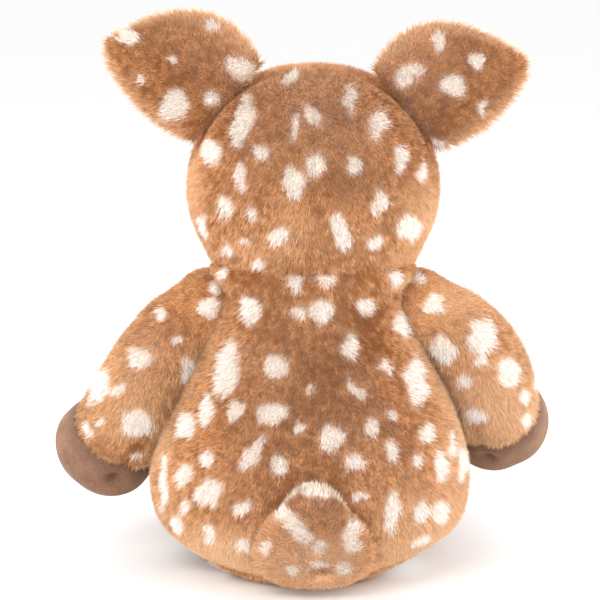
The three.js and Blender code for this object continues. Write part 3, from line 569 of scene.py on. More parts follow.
def fur_material(name, root, middle, tip, spot_root, spot_tip, patch, sheen):
    material = bpy.data.materials.new(name)
    shader = shader_of(material)
    t = Tree(material.node_tree)
    place = t.add("ShaderNodeTexCoord", None, "Object")
    wide = t.add("ShaderNodeTexNoise", None, 0, Vector=place, Scale=30.0, Detail=2.0)
    close = t.add("ShaderNodeTexNoise", None, 0, Vector=place, Scale=240.0, Detail=3.0)
    patches = t.math("ADD", t.math("MULTIPLY", wide, 0.4), t.math("MULTIPLY", close, 0.6))
    patches = t.add("ShaderNodeMapRange", {"interpolation_type": "SMOOTHSTEP"}, Value=patches, From_Min=0.42,
                    From_Max=0.6, To_Max=0.75)
    group = material.node_tree.nodes.new("ShaderNodeGroup")
    group.node_tree = lock_group
    for key, value in (("Root", root), ("Middle", middle), ("Tip", tip), ("Spot Root", spot_root),
                       ("Spot Tip", spot_tip), ("Patch Colour", patch)):
        group.inputs[key].default_value = (*value, 1)
    material.node_tree.links.new(patches, group.inputs["Patch"])
    material.node_tree.links.new(group.outputs[0], shader.inputs["Base Color"])
    shader.inputs["Roughness"].default_value = 0.75
    shader.inputs["Specular IOR Level"].default_value = 0.25
    shader.inputs["Sheen Weight"].default_value = sheen
    shader.inputs["Sheen Roughness"].default_value = 0.4
    shader.inputs["Sheen Tint"].default_value = (1, 0.92, 0.8, 1)
    return material


spotted_fur = fur_material("spotted_fur", (0.37, 0.145, 0.043), (0.74, 0.358, 0.13), (0.93, 0.7, 0.47),
                           (0.74, 0.57, 0.43), (1.0, 0.94, 0.89), (0.4, 0.15, 0.042), 0.65)
cream_fur = fur_material("cream_fur", (0.62, 0.5, 0.38), (0.86, 0.77, 0.66), (0.95, 0.89, 0.81),
                         (0.86, 0.77, 0.66), (0.95, 0.89, 0.81), (0.78, 0.67, 0.55), 0.2)
print("fur materials", spotted_fur.name, cream_fur.name)

# %% [markdown]
# ## From a skin to a furry piece
#
# Every furry piece goes through the same steps: the skin gets its painted attributes, the node tree grows the
# pile, the result becomes a plain mesh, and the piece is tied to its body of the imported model.


# %% The steps for one furry piece
LOCKS_PER_MM2 = 3.1
WIDTH = 0.43 * MM


def object_of(name, bm, material):
    mesh = bpy.data.meshes.new(name)
    bm.to_mesh(mesh)
    bm.free()
    mesh.materials.append(material)
    mesh.shade_smooth()
    piece = bpy.data.objects.new(name, mesh)
    bpy.context.collection.objects.link(piece)
    return piece


def flat_map(bm, low=0.0, high=1.0):
    """A map for baked colours that gives every face a small cell of its own."""
    chart = bm.loops.layers.uv.new("OFBake")
    row = math.ceil(math.sqrt(len(bm.faces)))
    for index, face in enumerate(bm.faces):
        for corner, loop in enumerate(face.loops):
            turn = 2 * math.pi * corner / len(face.loops)
            across = (index % row + 0.5 + 0.42 * math.cos(turn)) / row
            along = (index // row + 0.5 + 0.42 * math.sin(turn)) / row
            loop[chart].uv = (across, low + (high - low) * along)


def settle(piece, body, nodes):
    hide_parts(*nodes)
    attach(piece, body)
    return piece


def furry(name, bm, material, comb, listed=(), bare=None, length=4.4, lean=0.8, wave=0.45, tuft=0.4,
          tangle=0.34, thick=1.0, long=None, painted_shade=None, plain=None, wall=1.6, seed=1):
    """A piece of fur on a skin. comb gives the way the pile lies at a point; bare and long give the share of
    locks and of their length there, plain the share of the spots, and the fold function how much painted shade
    darkens the pile and its spots in a sewn fold; below zero it is painted light that makes the pile paler."""
    flat_map(bm, LOCK_CHART + 0.02, 1.0)
    bm.normal_update()
    points = np.array([v.co for v in bm.verts])
    normals = np.array([v.normal for v in bm.verts])
    piece = object_of(name, bm, material)
    mesh = piece.data
    lie = np.array([comb(Vector(p), Vector(n)) for p, n in zip(points, normals)])
    lie -= normals * np.sum(lie * normals, axis=1, keepdims=True)
    lie /= np.maximum(np.linalg.norm(lie, axis=1, keepdims=True), 0.35)
    reach = (normals + lie * lean) / math.hypot(1, lean) * length * MM * 0.8
    spots = spotted(points + reach, normals, listed) if material is spotted_fur else np.zeros(len(points))
    # painted shade in sewn folds darkens the ground and dims the spots; where it is below zero it is painted light
    # that pales the ground
    fold_shade = np.array([0 if painted_shade is None else painted_shade(Vector(p)) for p in points])
    spots = spots * np.array([1 if plain is None else plain(Vector(p)) for p in points])
    spots = spots * (1 - 0.6 * np.clip(fold_shade, 0, 1))
    # tone: painted light and shade in broad areas with mottling of the dye, minus the painted shade of sewn folds
    shares = {"spot": spots,
              "tone": lit_and_mottled_tone(points + reach, normals, listed) - 1.3 * fold_shade,
              "grow": np.array([1 if bare is None else bare(Vector(p)) for p in points]),
              "long": np.array([1 if long is None else long(Vector(p)) for p in points])}
    for key, values in shares.items():
        mesh.attributes.new(key, "FLOAT", "POINT").data.foreach_set("value", values.astype(np.float32))
    combed = mesh.attributes.new("comb", "FLOAT_VECTOR", "POINT")
    combed.data.foreach_set("vector", lie.astype(np.float32).ravel())
    modifier = piece.modifiers.new("pile", "NODES")
    modifier.node_group = pile
    for key, value in (("Lock", one_lock), ("Locks", LOCKS_PER_MM2 * 1e6 * thick), ("Length", length * MM),
                       ("Width", WIDTH), ("Lean", lean), ("Wave", wave), ("Tuft", tuft),
                       ("Tangle", tangle), ("Wall", wall * MM), ("Seed", seed)):
        modifier[pile_sockets[key]] = value
    grown = bpy.data.meshes.new_from_object(piece.evaluated_get(bpy.context.evaluated_depsgraph_get()))
    piece.modifiers.clear()
    piece.data = grown
    grown.name = name
    grown.materials.clear()
    grown.materials.append(material)
    grown.polygons.foreach_set("material_index", np.zeros(len(grown.polygons), np.int32))
    print(name, len(grown.polygons), "faces")
    return piece


# %% [markdown]
# ## Body
#
# The body is a pear of fur, flat under the seat and widest low down. Its left and right skins meet in a seam
# down the middle of the back, where the pile parts a little, and round a cream panel on the belly.

# %% The body's form
BODY_HALF_WIDTH, BODY_HALF_DEPTH, BODY_HEIGHT = 78 * MM, 72.5 * MM, 168 * MM
BODY_SHARES = [  # height, width, depth
    (0, 0.58, 0.58), (0.048, 0.775, 0.775), (0.137, 0.937, 0.938), (0.262, 1, 1), (0.357, 0.985, 0.993),
    (0.512, 0.875, 0.897), (0.667, 0.711, 0.759), (0.821, 0.59, 0.648), (0.929, 0.557, 0.607),
    (1, 0.42, 0.45),
]
body_line = through([(h * BODY_HEIGHT, w * BODY_HALF_WIDTH, d * BODY_HALF_DEPTH)
                     for h, w, d in BODY_SHARES], 66)
SEAM_DENT = 0.9 * MM


def body_at(height):
    """Half width and half depth of the body at a height."""
    heights = [p.x for p in body_line]
    return (np.interp(height, heights, [p.y for p in body_line]),
            np.interp(height, heights, [p.z for p in body_line]))


def parted(point):
    """How near the point is to the seam down the middle, from 0 to 1."""
    return math.exp(-(point.x / (2.6 * MM)) ** 2)


def slump(point):
    """The toy leans on its left side: the flank bulges there, and the seat's edges lift off the floor."""
    bulge = math.exp(-((point.z - 42 * MM) / (26 * MM)) ** 2) * float(soft_step(point.x, 20 * MM, 70 * MM))
    low = 1 - float(soft_step(point.z, 0, 42 * MM))
    lift = 7 * float(soft_step(-point.x, 8 * MM, 56 * MM)) + 2.5 * float(soft_step(point.x, 20 * MM, 56 * MM))
    return point + Vector((3.6 * MM * bulge, 0, lift * MM * low))


def body_place(point):
    wide, deep = body_at(point.z)
    along = Vector((point.x, point.y * deep / max(wide, 1e-6), point.z))
    collar = float(soft_step(point.z, 144 * MM, 160 * MM))
    along.x *= 1 + 0.2 * collar
    along.y *= 1 + 0.07 * collar
    if point.y > 0:
        along.y -= SEAM_DENT * parted(along)
    return slump(along)


seat_steps = [(share * body_line[0].y, 0) for share in np.linspace(0, 0.96, 14)]
top_steps = [(share * body_line[-1].y, BODY_HEIGHT) for share in np.linspace(0.93, 0, 8)]
body_form = moved(turned(seat_steps + [(p.y, p.x) for p in body_line] + top_steps, 168), body_place)
print("body form", len(body_form.faces), "faces")

# %% Body skins, belly and seat
SEAT_SEAM = 6 * MM
BELLY = {"height": 90 * MM, "half_width": 37 * MM, "half_height": 50 * MM}
HEAD_MIDDLE = Vector((0, -4, 190)) * MM
HEAD_BALL = 58 * MM


def in_belly(p):
    return p.y < 0 and math.hypot(p.x / BELLY["half_width"],
                                  (p.z - BELLY["height"]) / BELLY["half_height"]) < 1


def in_seat(p):
    return p.z < SEAT_SEAM + slump(p).z - p.z


def in_collar(p):
    """True where the head sits in the body's hollow."""
    return (p - HEAD_MIDDLE).length < HEAD_BALL - 1 * MM


# The round roots of the arms and the legs sit in hollows of the body too
SHOULDER_HEIGHT, SHOULDER_STAND_OFF, SHOULDER_RADIUS = 137 * MM, 7 * MM, 17.5 * MM
HIP_OUT, HIP_HEIGHT, HIP_STAND_OFF, HIP_RADIUS = 44 * MM, 24 * MM, 10 * MM, 21 * MM
SOCKET_GAP = 0.6 * MM


def shoulder(side):
    return Vector((side * (body_at(SHOULDER_HEIGHT)[0] + SHOULDER_STAND_OFF), 0, SHOULDER_HEIGHT))


def hip(side):
    wide, deep = body_at(HIP_HEIGHT)
    return Vector((side * HIP_OUT, -deep * math.sqrt(1 - (HIP_OUT / wide) ** 2) - HIP_STAND_OFF, HIP_HEIGHT))


sockets = [(middle(side), radius + SOCKET_GAP) for side in (1, -1)
           for middle, radius in ((shoulder, SHOULDER_RADIUS), (hip, HIP_RADIUS))]


def in_hollow(p):
    """True where the head or a limb sits in the body, which has no skin there."""
    return in_collar(p) or any((p - middle).length < radius for middle, radius in sockets)


def down(point, normal):
    wave = noise.noise(point * 22) * 0.5
    return Vector((wave, 0, -1))


def body_bare(point):
    return 0 if (point - HEAD_MIDDLE).length < HEAD_BALL + 1.5 * MM else 1


TAIL_RIM = [(291, 491), (277, 503), (265, 519), (256, 538), (255, 556), (337, 491), (351, 503), (363, 519),
            (371, 538), (373, 556)]  # pixels along the tail's sides


def body_crease(point):
    """The pile is pressed down along the tail's sides and under the head, and painted shade darkens it there."""
    collar = 0.35 * math.exp(-(((point - HEAD_MIDDLE).length - HEAD_BALL) / (3.2 * MM)) ** 2)
    if point.y < 0:
        return collar
    across, down = photo_place([point])[0]
    near = min(math.hypot(across - x, down - y) for x, y in TAIL_RIM)
    return max(collar, 0.75 * math.exp(-(near / 7.5) ** 2))


def body_long(point):
    low = float(0.3 + 0.7 * soft_step(point.z, 4 * MM, 34 * MM))
    return (1 - 0.3 * parted(point)) * low * (1 - 0.5 * body_crease(point))


for side, sign in (("left", 1), ("right", -1)):
    skin = part_of(body_form, lambda p: p.x * sign > 0 and not in_seat(p) and not in_belly(p)
                   and not in_hollow(p))
    fur = furry(f"body_fur_{side}", skin, spotted_fur, down, BODY_SPOTS, body_bare, long=body_long,
                painted_shade=body_crease, seed=11 + sign)
    settle(fur, "body", [f"body_skin_{side}"])
belly = furry("belly_fur", part_of(body_form, lambda p: in_belly(p) and not in_hollow(p)), cream_fur, down,
              bare=body_bare, length=4.2, seed=14)
settle(belly, "body", ["belly_panel"])
seat = furry("seat_fur", part_of(body_form, lambda p: in_seat(p) and not in_hollow(p)), spotted_fur,
             lambda p, n: Vector((p.x, p.y, 0)), length=3, thick=0.35, seed=15)
settle(seat, "body", ["seat_panel"])

# %% [markdown]
# ## Head
#
# The head is a ball below, where it sits between the shoulders, and grows into fuller cheeks and a crown. The
# skin starts from a sphere and every point moves out to the form's own reach in its direction.

# %% The head's form
HEAD_HALF_WIDTH, HEAD_HALF_DEPTH, HEAD_RISE = 62 * MM, 60 * MM, 67 * MM
CROWN_SQUARENESS = 2.3


def head_reach(direction):
    full = sum((abs(d) / half) ** CROWN_SQUARENESS for d, half in
               zip(direction, (HEAD_HALF_WIDTH, HEAD_HALF_DEPTH, HEAD_RISE))) ** (-1 / CROWN_SQUARENESS)
    share = float(soft_step(math.degrees(math.acos(max(-1, min(1, -direction.z)))), 66, 98))
    return HEAD_BALL + (full - HEAD_BALL) * share


def head_place(point):
    direction = point.normalized()
    place = direction * head_reach(direction) + HEAD_MIDDLE
    if place.y > 0:
        place -= direction * SEAM_DENT * parted(place)
    return place


head_ball = bmesh.new()
bmesh.ops.create_uvsphere(head_ball, u_segments=144, v_segments=80, radius=1)
head_form = moved(head_ball, head_place)

MUZZLE = {"half_width": 26 * MM, "half_height": 20 * MM, "reach": 27 * MM, "height": 177 * MM,
          "front": -62 * MM}
EYE_BEARING, EYE_ELEVATION, EYE_RADIUS = math.radians(26), math.radians(15), 6.5 * MM


def eye_axis(side):
    return Vector((side * math.sin(EYE_BEARING) * math.cos(EYE_ELEVATION),
                   -math.cos(EYE_BEARING) * math.cos(EYE_ELEVATION), math.sin(EYE_ELEVATION)))


eye_places = [eye_axis(side) * head_reach(eye_axis(side)) + HEAD_MIDDLE for side in (1, -1)]


# Each ear's seam: degrees above level, the way that the ear points, and how far it is turned forward
EARS = {"left": (1, 50.5, 41, 0), "right": (-1, 46.5, 39, 20)}
EAR_SEAM_BEHIND = math.radians(11.5)
ear_frames = {}
for side, (sign, elevation, lean, tilt) in EARS.items():
    def sideways(degrees):
        return Vector((sign * math.cos(math.radians(degrees)), 0, math.sin(math.radians(degrees))))

    to_seam = sideways(elevation) * math.cos(EAR_SEAM_BEHIND) + Vector((0, math.sin(EAR_SEAM_BEHIND), 0))
    outward = sideways(lean - 90)
    forward = Matrix.Rotation(-sign * math.radians(tilt), 3, outward)
    ear_frames[side] = (to_seam * (head_reach(to_seam) - 1.2 * MM) + HEAD_MIDDLE,
                        (outward, forward @ Vector((0, 1, 0)), forward @ sideways(lean)))


def ear_seam_distance(point):
    """How far a point is from the nearer line along which an ear is sewn down."""
    found = []
    for root, (outward, _, _) in ear_frames.values():
        off = point - root
        found.append((off - outward * max(-24 * MM, min(24 * MM, off.dot(outward)))).length)
    return min(found)


# painted shade in the crease along each ear's seam, on the head and on the ear
def ear_crease(point):
    return math.exp(-(ear_seam_distance(point) / (5.5 * MM)) ** 2)


def head_bare(point):
    if point.y < 0 and math.hypot(point.x / MUZZLE["half_width"],
                                  (point.z - MUZZLE["height"]) / MUZZLE["half_height"]) < 0.95:
        return 0
    return 0 if min((point - eye).length for eye in eye_places) < EYE_RADIUS + 0.6 * MM else 1


def head_long(point):
    near_eye = min((point - eye).length for eye in eye_places)
    short = 0.35 + 0.65 * float(soft_step(near_eye, 7 * MM, 20 * MM))
    face = 0.55 + 0.45 * float(soft_step(point.y, -60 * MM, -25 * MM))
    near_ear = 0.25 + 0.75 * float(soft_step(ear_seam_distance(point), 5 * MM, 13 * MM))
    return (1 - 0.28 * parted(point) * (point.y > 0)) * min(short, face, near_ear)


def head_plain(point):
    """No spots round the eyes."""
    return float(soft_step(min((point - eye).length for eye in eye_places), 13 * MM, 20 * MM))


def head_comb(point, normal):
    if point.y < -30 * MM:
        return point - Vector((0, MUZZLE["front"] - MUZZLE["reach"], MUZZLE["height"] + 10 * MM))
    return down(point, normal) + Vector((0, 0.3 * normal.z, 0))


for side, sign in (("left", 1), ("right", -1)):
    fur = furry(f"head_fur_{side}", part_of(head_form, lambda p: p.x * sign > 0), spotted_fur, head_comb,
                HEAD_SPOTS, head_bare, long=head_long, painted_shade=ear_crease, plain=head_plain, seed=21 + sign)
    settle(fur, "head", [f"head_skin_{side}"])
print("head furred")

# %% [markdown]
# ## Limbs
#
# An arm or a leg is a sleeve of fur, sewn to a suede hoof round a seam. The profile is turned straight along
# Z, and each ring is then carried to its place on the limb's spine.


# %% Bending a straight limb along its spine
ROOT_SHARES = [(0, 1), (0.1, 0.99)]
SLEEVE_SHARES = [(0.24, 0.84), (0.38, 0.94), (0.54, 0.98), (0.7, 1), (0.85, 1)]
HOOF_SHARES = [(0.87, 0.93), (0.93, 0.98), (1, 1)]
SEAM_SHARE = 0.86


class Limb:
    def __init__(self, points, root, sleeve, hoof, cap, reference, dimple=90):
        self.dimple = math.radians(dimple)
        self.line = through(points, 120)
        self.length = sum((q - p).length for p, q in zip(self.line, self.line[1:]))
        self.radii = root, sleeve, hoof
        self.cap, self.reference = cap, reference
        self.crease_line = [self.place(Vector((sleeve * math.cos(self.dimple), sleeve * math.sin(self.dimple), far)))
                            for far in np.linspace(0.66, 0.85, 9) * self.length]

    def at(self, along):
        share = min(max(along / self.length, 0), 1) * (len(self.line) - 1)
        index = min(int(share), len(self.line) - 2)
        tangent = (self.line[index + 1] - self.line[index]).normalized()
        return self.line[index].lerp(self.line[index + 1], share - index), tangent

    def place(self, point):
        """From the straight limb, which runs up Z from its root, to where the real one is."""
        middle, tangent = self.at(point.z)
        beyond = point.z - min(max(point.z, 0), self.length)
        side = self.reference.cross(tangent).normalized()
        return middle + tangent * beyond + side * point.x + tangent.cross(side) * point.y

    def sleeve(self):
        root, sleeve, _ = self.radii
        start = [(root * math.cos(a), root * math.sin(a)) for a in np.linspace(-math.pi / 2, 0, 18)[:-1]]
        stations = [(w * self.length, s * root, 0) for w, s in ROOT_SHARES] \
            + [(w * self.length, s * sleeve, 0) for w, s in SLEEVE_SHARES]
        line = through(stations, 44)
        end = [(share * line[-1].y, line[-1].x) for share in np.linspace(0.85, 0, 7)]

        def creased(point):
            """The hoof's stitches also pull a short crease into the end of the sleeve."""
            off = abs(math.atan2(point.y, point.x) - self.dimple) * sleeve
            near = float(soft_step(point.z, 0.6 * self.length, 0.84 * self.length))
            reach = 1 - 0.15 * near * math.exp(-(off / (3.4 * MM)) ** 2)
            return self.place(Vector((point.x * reach, point.y * reach, point.z)))

        return moved(turned(start + [(p.y, p.x) for p in line] + end, 72), creased)

    # painted shade in the short crease that the hoof's stitches pull into the end of the sleeve
    def painted_shade(self, point):
        near = min((point - place).length for place in self.crease_line)
        return 0.7 * math.exp(-(near / (3.2 * MM)) ** 2)

    def bare(self, point):
        """No pile on the end that the hoof covers."""
        middle, tangent = self.at(0.85 * self.length)
        return 0 if (point - middle).dot(tangent) > -0.3 * MM and (point - middle).length < 0.93 * self.radii[1] else 1

    def hoof(self):
        """The hoof is drawn in by a cleft, most of all in front, and by a stitched dimple behind."""
        _, sleeve, hoof = self.radii
        seam = SEAM_SHARE * self.length
        line = through([(w * self.length, s * hoof, 0) for w, s in HOOF_SHARES], 18)
        inner = [(r, seam - 1 * MM) for r in np.linspace(0, 0.8 * hoof, 8)] + [(0.89 * hoof, seam + 0.2 * MM)]
        end = [(hoof * math.cos(a), self.length + self.cap * math.sin(a)) for a in np.linspace(0, math.pi / 2, 26)]
        bm = turned(inner + [(p.y, p.x) for p in line] + end[1:], 72)

        dimple_shade = bm.verts.layers.float.new("dimple")
        for vert in bm.verts:
            point = vert.co
            way = min(max((point.z - seam) / (self.length + self.cap - seam), 0), 1)
            off = abs(abs(math.atan2(point.y, point.x)) - math.pi / 2)
            depth = 0.16 if point.y < 0 else 0.05
            reach = 1 - depth * math.sin(math.pi * way) * math.exp(-(off / 0.3) ** 2)
            aside = abs(math.atan2(point.y, point.x) - self.dimple) * hoof
            pinch = math.exp(-(aside / (4.5 * MM)) ** 2 - ((point.z - seam - 5.5 * MM) / (4 * MM)) ** 2)
            reach -= 0.13 * pinch * (point.z > seam)
            # painted shade in the stitched dimple, and a painted shadow along the seam under the sleeve's edge
            vert[dimple_shade] = max(pinch, 0.5 * math.exp(-((point.z - seam) / (6 * MM)) ** 2))
            vert.co = Vector((point.x * reach, point.y * reach, point.z))
        return moved(bm, self.place)

    def comb(self, point, normal):
        nearest = min(range(len(self.line) - 1), key=lambda i: (self.line[i] - point).length_squared)
        return (self.line[nearest + 1] - self.line[nearest]).normalized() \
            + Vector((0, 0, -0.25)) + noise.noise_vector(point * 24) * 0.35


# %% The arms' and the legs' spines
ARM_OUT, ARM_DROP, ARM_FORWARD = 51 * MM, 85 * MM, 32 * MM
ARM_PATH = [(0, 0, 0), (0.29, 0.06, 0.17), (0.45, 0.15, 0.335), (0.61, 0.29, 0.53), (0.745, 0.5, 0.72),
            (0.87, 0.74, 0.88), (1, 1, 1)]  # shares out, forward and down
LEG_PATH = [(0, 0, 0), (0.35, 0.34, 0.2), (0.7, 0.68, 0.6), (1, 1, 1)]  # shares out, forward and up


def arm(side, swing, spread, bow):
    root = shoulder(side)
    turn = Matrix.Rotation(-math.radians(swing), 3, "X") @ Matrix.Rotation(-side * math.radians(spread), 3, "Y")
    points = []
    for out, forward, drop in ARM_PATH:
        push = bow * MM * math.sin(math.pi * drop)
        points.append(root + turn @ Vector((side * (out * ARM_OUT + push), -forward * ARM_FORWARD,
                                            0.8 * push - drop * ARM_DROP)))
    return Limb(points, SHOULDER_RADIUS, 22.7 * MM, 27.5 * MM, 19 * MM, Vector((0, 1, 0)), 90 - side * 27)


def leg(side):
    points = [hip(side) + Vector((side * out * 9, -forward * 72, rise * 3.2)) * MM for out, forward, rise in LEG_PATH]
    return Limb(points, HIP_RADIUS, 22.5 * MM, 26 * MM, 18 * MM, Vector((0, 0, 1)))


limbs = {"arm_left": arm(1, 0, 4, -0.8), "arm_right": arm(-1, 19, -3, 6), "leg_left": leg(1),
         "leg_right": leg(-1)}
limb_spots = {"arm_left": ARM_LEFT_SPOTS, "arm_right": ARM_RIGHT_SPOTS, "leg_left": (), "leg_right": ()}


# %% [markdown]
# The hooves are suede cloth: a short nap that darkens where it is brushed one way, with painted shade in the
# stitched dimple and a painted shadow along the seam under the sleeve. Noise of two sizes gives the brushed clouds
# and the nap's grain.

# %% Suede
def suede_material():
    material = bpy.data.materials.new("suede")
    shader = shader_of(material)
    t = Tree(material.node_tree)
    place = t.add("ShaderNodeTexCoord", None, "Object")
    cloud = t.add("ShaderNodeTexNoise", None, 0, Vector=place, Scale=85.0, Detail=3.0)
    nap = t.add("ShaderNodeTexNoise", None, 0, Vector=place, Scale=1400.0, Detail=2.0)
    share = t.math("ADD", t.math("MULTIPLY", cloud, 0.4), t.math("MULTIPLY", nap, 0.6))
    ramp = material.node_tree.nodes.new("ShaderNodeValToRGB")
    ramp.color_ramp.elements[0].position, ramp.color_ramp.elements[0].color = 0.36, (0.178, 0.092, 0.055, 1)
    ramp.color_ramp.elements[1].position, ramp.color_ramp.elements[1].color = 0.66, (0.345, 0.193, 0.121, 1)
    material.node_tree.links.new(share, ramp.inputs[0])
    # the dimple attribute darkens the suede: painted shade in the dimple and painted shadow along the seam
    dimple = t.add("ShaderNodeAttribute", {"attribute_name": "dimple"}, 2)
    colour = t.add("ShaderNodeMix", {"data_type": "RGBA"}, 2, i0=t.math("MULTIPLY", dimple, 0.8),
                   i6=ramp.outputs[0], i7=(0.07, 0.03, 0.018, 1))
    material.node_tree.links.new(colour, shader.inputs["Base Color"])
    bump = t.add("ShaderNodeBump", None, 0, Strength=0.35, Distance=0.0003, Height=nap)
    material.node_tree.links.new(bump, shader.inputs["Normal"])
    shader.inputs["Roughness"].default_value = 0.85
    shader.inputs["Specular IOR Level"].default_value = 0.2
    shader.inputs["Sheen Weight"].default_value = 0.2
    shader.inputs["Sheen Roughness"].default_value = 0.4
    shader.inputs["Sheen Tint"].default_value = (1, 0.8, 0.66, 1)
    return material


suede = suede_material()

# %% Sleeves and hooves
for index, (name, limb) in enumerate(limbs.items()):
    def limb_long(point, limb=limb):
        return 0.6 + 0.4 * float(soft_step((point - limb.line[0]).length, 16 * MM, 30 * MM))

    fur = furry(f"{name}_fur", limb.sleeve(), spotted_fur, limb.comb, limb_spots[name], limb.bare,
                long=limb_long, painted_shade=limb.painted_shade, seed=31 + index)
    settle(fur, name, [f"{name}_sleeve"])
    hoof = object_of(f"{name}_suede", limb.hoof(), suede)
    settle(hoof, name, [f"{name}_hoof"])

# %% [markdown]
# ## Ears and tail
#
# An ear is a leaf, spotted behind and cream in front, a little cupped towards the face. The tail is a plumper
# leaf that stands against the back, with its cream underside showing as a pale rim.


# %% Leaves
def leaf(root, frame_axes, rows, cup, around=72, steps=40):
    """A leaf from a sphere: rows give length, half width, half thickness and sway, in metres."""
    line = through([(r[0], r[1], r[2]) for r in rows], 200)
    sway = through([(r[0], r[3], 0) for r in rows], 200)
    axes = Matrix(frame_axes).transposed()
    span, widest = rows[-1][0], max(r[1] for r in rows)
    lengths = [p.x for p in line]

    def place(point):
        along = (point.z + 1) / 2 * span
        ring = math.hypot(point.x, point.y)
        unit = (point.x / ring, point.y / ring) if ring > 1e-6 else (0, 0)
        wide = np.interp(along, lengths, [p.y for p in line])
        deep = np.interp(along, lengths, [p.z for p in line])
        if point.z < -0.999:
            wide = deep = 0
        across = unit[0] * wide + np.interp(along, [p.x for p in sway], [p.y for p in sway])
        through_it = unit[1] * deep - cup * (unit[0] ** 2) * min(1, along / (0.3 * span)) * (wide / widest)
        return root + axes @ Vector((across, through_it, along))

    profile = [(math.sqrt(max(0, 1 - z * z)) if abs(z) < 1 else 0, z) for z in np.linspace(-1, 1, steps)]
    return moved(turned(profile, around), place)


def ear_rows():
    shares = [(0, 0.82, 0.3, 0.05), (0.04, 0.86, 0.66, 0.05), (0.16, 0.95, 0.86, 0.05), (0.36, 1, 1, 0.07), (0.58, 0.9, 0.95, 0.17),
              (0.77, 0.66, 0.8, 0.42), (0.91, 0.33, 0.56, 0.76), (1, 0, 0, 1)]
    return [(a * 67.5 * MM, w * 30 * MM, t * 5.2 * MM, s * 17 * MM) for a, w, t, s in shares]


def leaf_rim(point, root, outward, away, rows):
    """How near a point is to the edge of a leaf, from 0 in its middle to 1."""
    off = point - root
    lengths = [r[0] for r in rows]
    wide, sway = (np.interp(off.dot(away), lengths, [r[i] for r in rows]) for i in (1, 3))
    return float(soft_step(abs(off.dot(outward) - sway) / max(wide, 1 * MM), 0.62, 1.0))


for side, sign, listed in (("left", 1, EAR_LEFT_SPOTS), ("right", -1, EAR_RIGHT_SPOTS)):
    root, (outward, back, away) = ear_frames[side]
    form = leaf(root, (outward, back, away), ear_rows(), 3.5 * MM)
    form.normal_update()

    def ear_comb(point, normal, root=root, away=away, outward=outward):
        off = point - root
        return away + outward * (off.dot(outward) / (30 * MM)) * 0.7 + noise.noise_vector(point * 30) * 0.3

    def ear_edge(point, root=root, away=away, outward=outward):
        return leaf_rim(point, root, outward, away, ear_rows())

    for face, wanted, material, slot_name, pile_length in (
            ("back", True, spotted_fur, "spotted_fur", 3.8), ("lining", False, cream_fur, "cream_fur", 3.2)):
        skin = form.copy()
        skin.normal_update()
        bmesh.ops.delete(skin, geom=[f for f in skin.faces if (f.normal.dot(back) > 0) != wanted],
                         context="FACES")
        # painted shade in the crease at the ear's seam, and painted light along its rim, where the pile is also longer
        fur = furry(f"ear_{side}_{face}_fur", skin, material, ear_comb, listed if wanted else (),
                    length=pile_length, lean=0.7, seed=41 + sign + wanted, wall=1.2,
                    painted_shade=lambda p: ear_crease(p) - 0.6 * ear_edge(p), long=lambda p: 1 + 0.4 * ear_edge(p))
        settle(fur, f"ear_{side}", [f"ear_{side}_{face}"])

# %% Tail
TAIL_LEAN = math.radians(25)
tail_rows = [(a * 49.5 * MM, w * 28 * MM, t * 10 * MM, 0) for a, w, t in
             ((0, 0.6, 0.72), (0.16, 0.95, 0.9), (0.36, 1, 1), (0.58, 0.84, 0.98), (0.78, 0.54, 0.8),
              (0.93, 0.22, 0.45), (1, 0, 0))]
tail_root = Vector((0, body_at(13.5 * MM)[1] + 5 * MM, 13.5 * MM))
tail_away = Vector((0, math.sin(TAIL_LEAN), math.cos(TAIL_LEAN)))
tail_out = Vector((0, math.cos(TAIL_LEAN), -math.sin(TAIL_LEAN)))
tail_form = leaf(tail_root - tail_away * 7 * MM, (Vector((1, 0, 0)), tail_out, tail_away),
                 [(r[0] * 1.14, *r[1:]) for r in tail_rows], 0)


def tail_comb(point, normal):
    off = point - tail_root
    return tail_away * 0.6 + Vector((off.x / (28 * MM), 0, 0)) * 0.4 + noise.noise_vector(point * 30) * 0.4


def tail_long(point):
    """Short under the tail and where a few stitches pinch it, near its foot."""
    low = 0.35 + 0.65 * float(soft_step(point.z, 4 * MM, 16 * MM))
    pinch = (point - TAIL_STITCHES) * (1 / (7 * MM))
    return low * (1 - 0.7 * math.exp(-pinch.x ** 2 - (3 * pinch.z) ** 2) * (point.y > 70 * MM))


def tuft_long(point):
    """The cream underside shows only at the tail's tip."""
    return 0.12 + 1.3 * float(soft_step((point - tail_root).dot(tail_away), 30 * MM, 42 * MM))


TAIL_STITCHES = Vector((-5, 85, 11)) * MM
for face, wanted, material, slot_name in (("back", True, spotted_fur, "spotted_fur"),
                                          ("lining", False, cream_fur, "cream_fur")):
    skin = tail_form.copy()
    skin.normal_update()
    bmesh.ops.delete(skin, geom=[f for f in skin.faces if (f.normal.dot(tail_out) > -0.15) != wanted],
                     context="FACES")
    fur = furry(f"tail_{face}_fur", skin, material, tail_comb, TAIL_SPOTS if wanted else (),
                long=tail_long if wanted else tuft_long, seed=51 + wanted, wall=1.2)
    settle(fur, "tail", [f"tail_{face}"])

# %% [markdown]
# ## Face
#
# The photograph doesn't show the face, so it is a plain fawn's: a cream muzzle of shorter pile, a velour nose
# and two glossy domes for eyes.

# %% Muzzle
muzzle_line = through([(-0.5, 0.92, 0.92), (0, 1, 1), (0.3, 0.98, 0.97), (0.55, 0.9, 0.88), (0.78, 0.74, 0.72),
                       (0.93, 0.48, 0.46), (1, 0, 0)], 44)


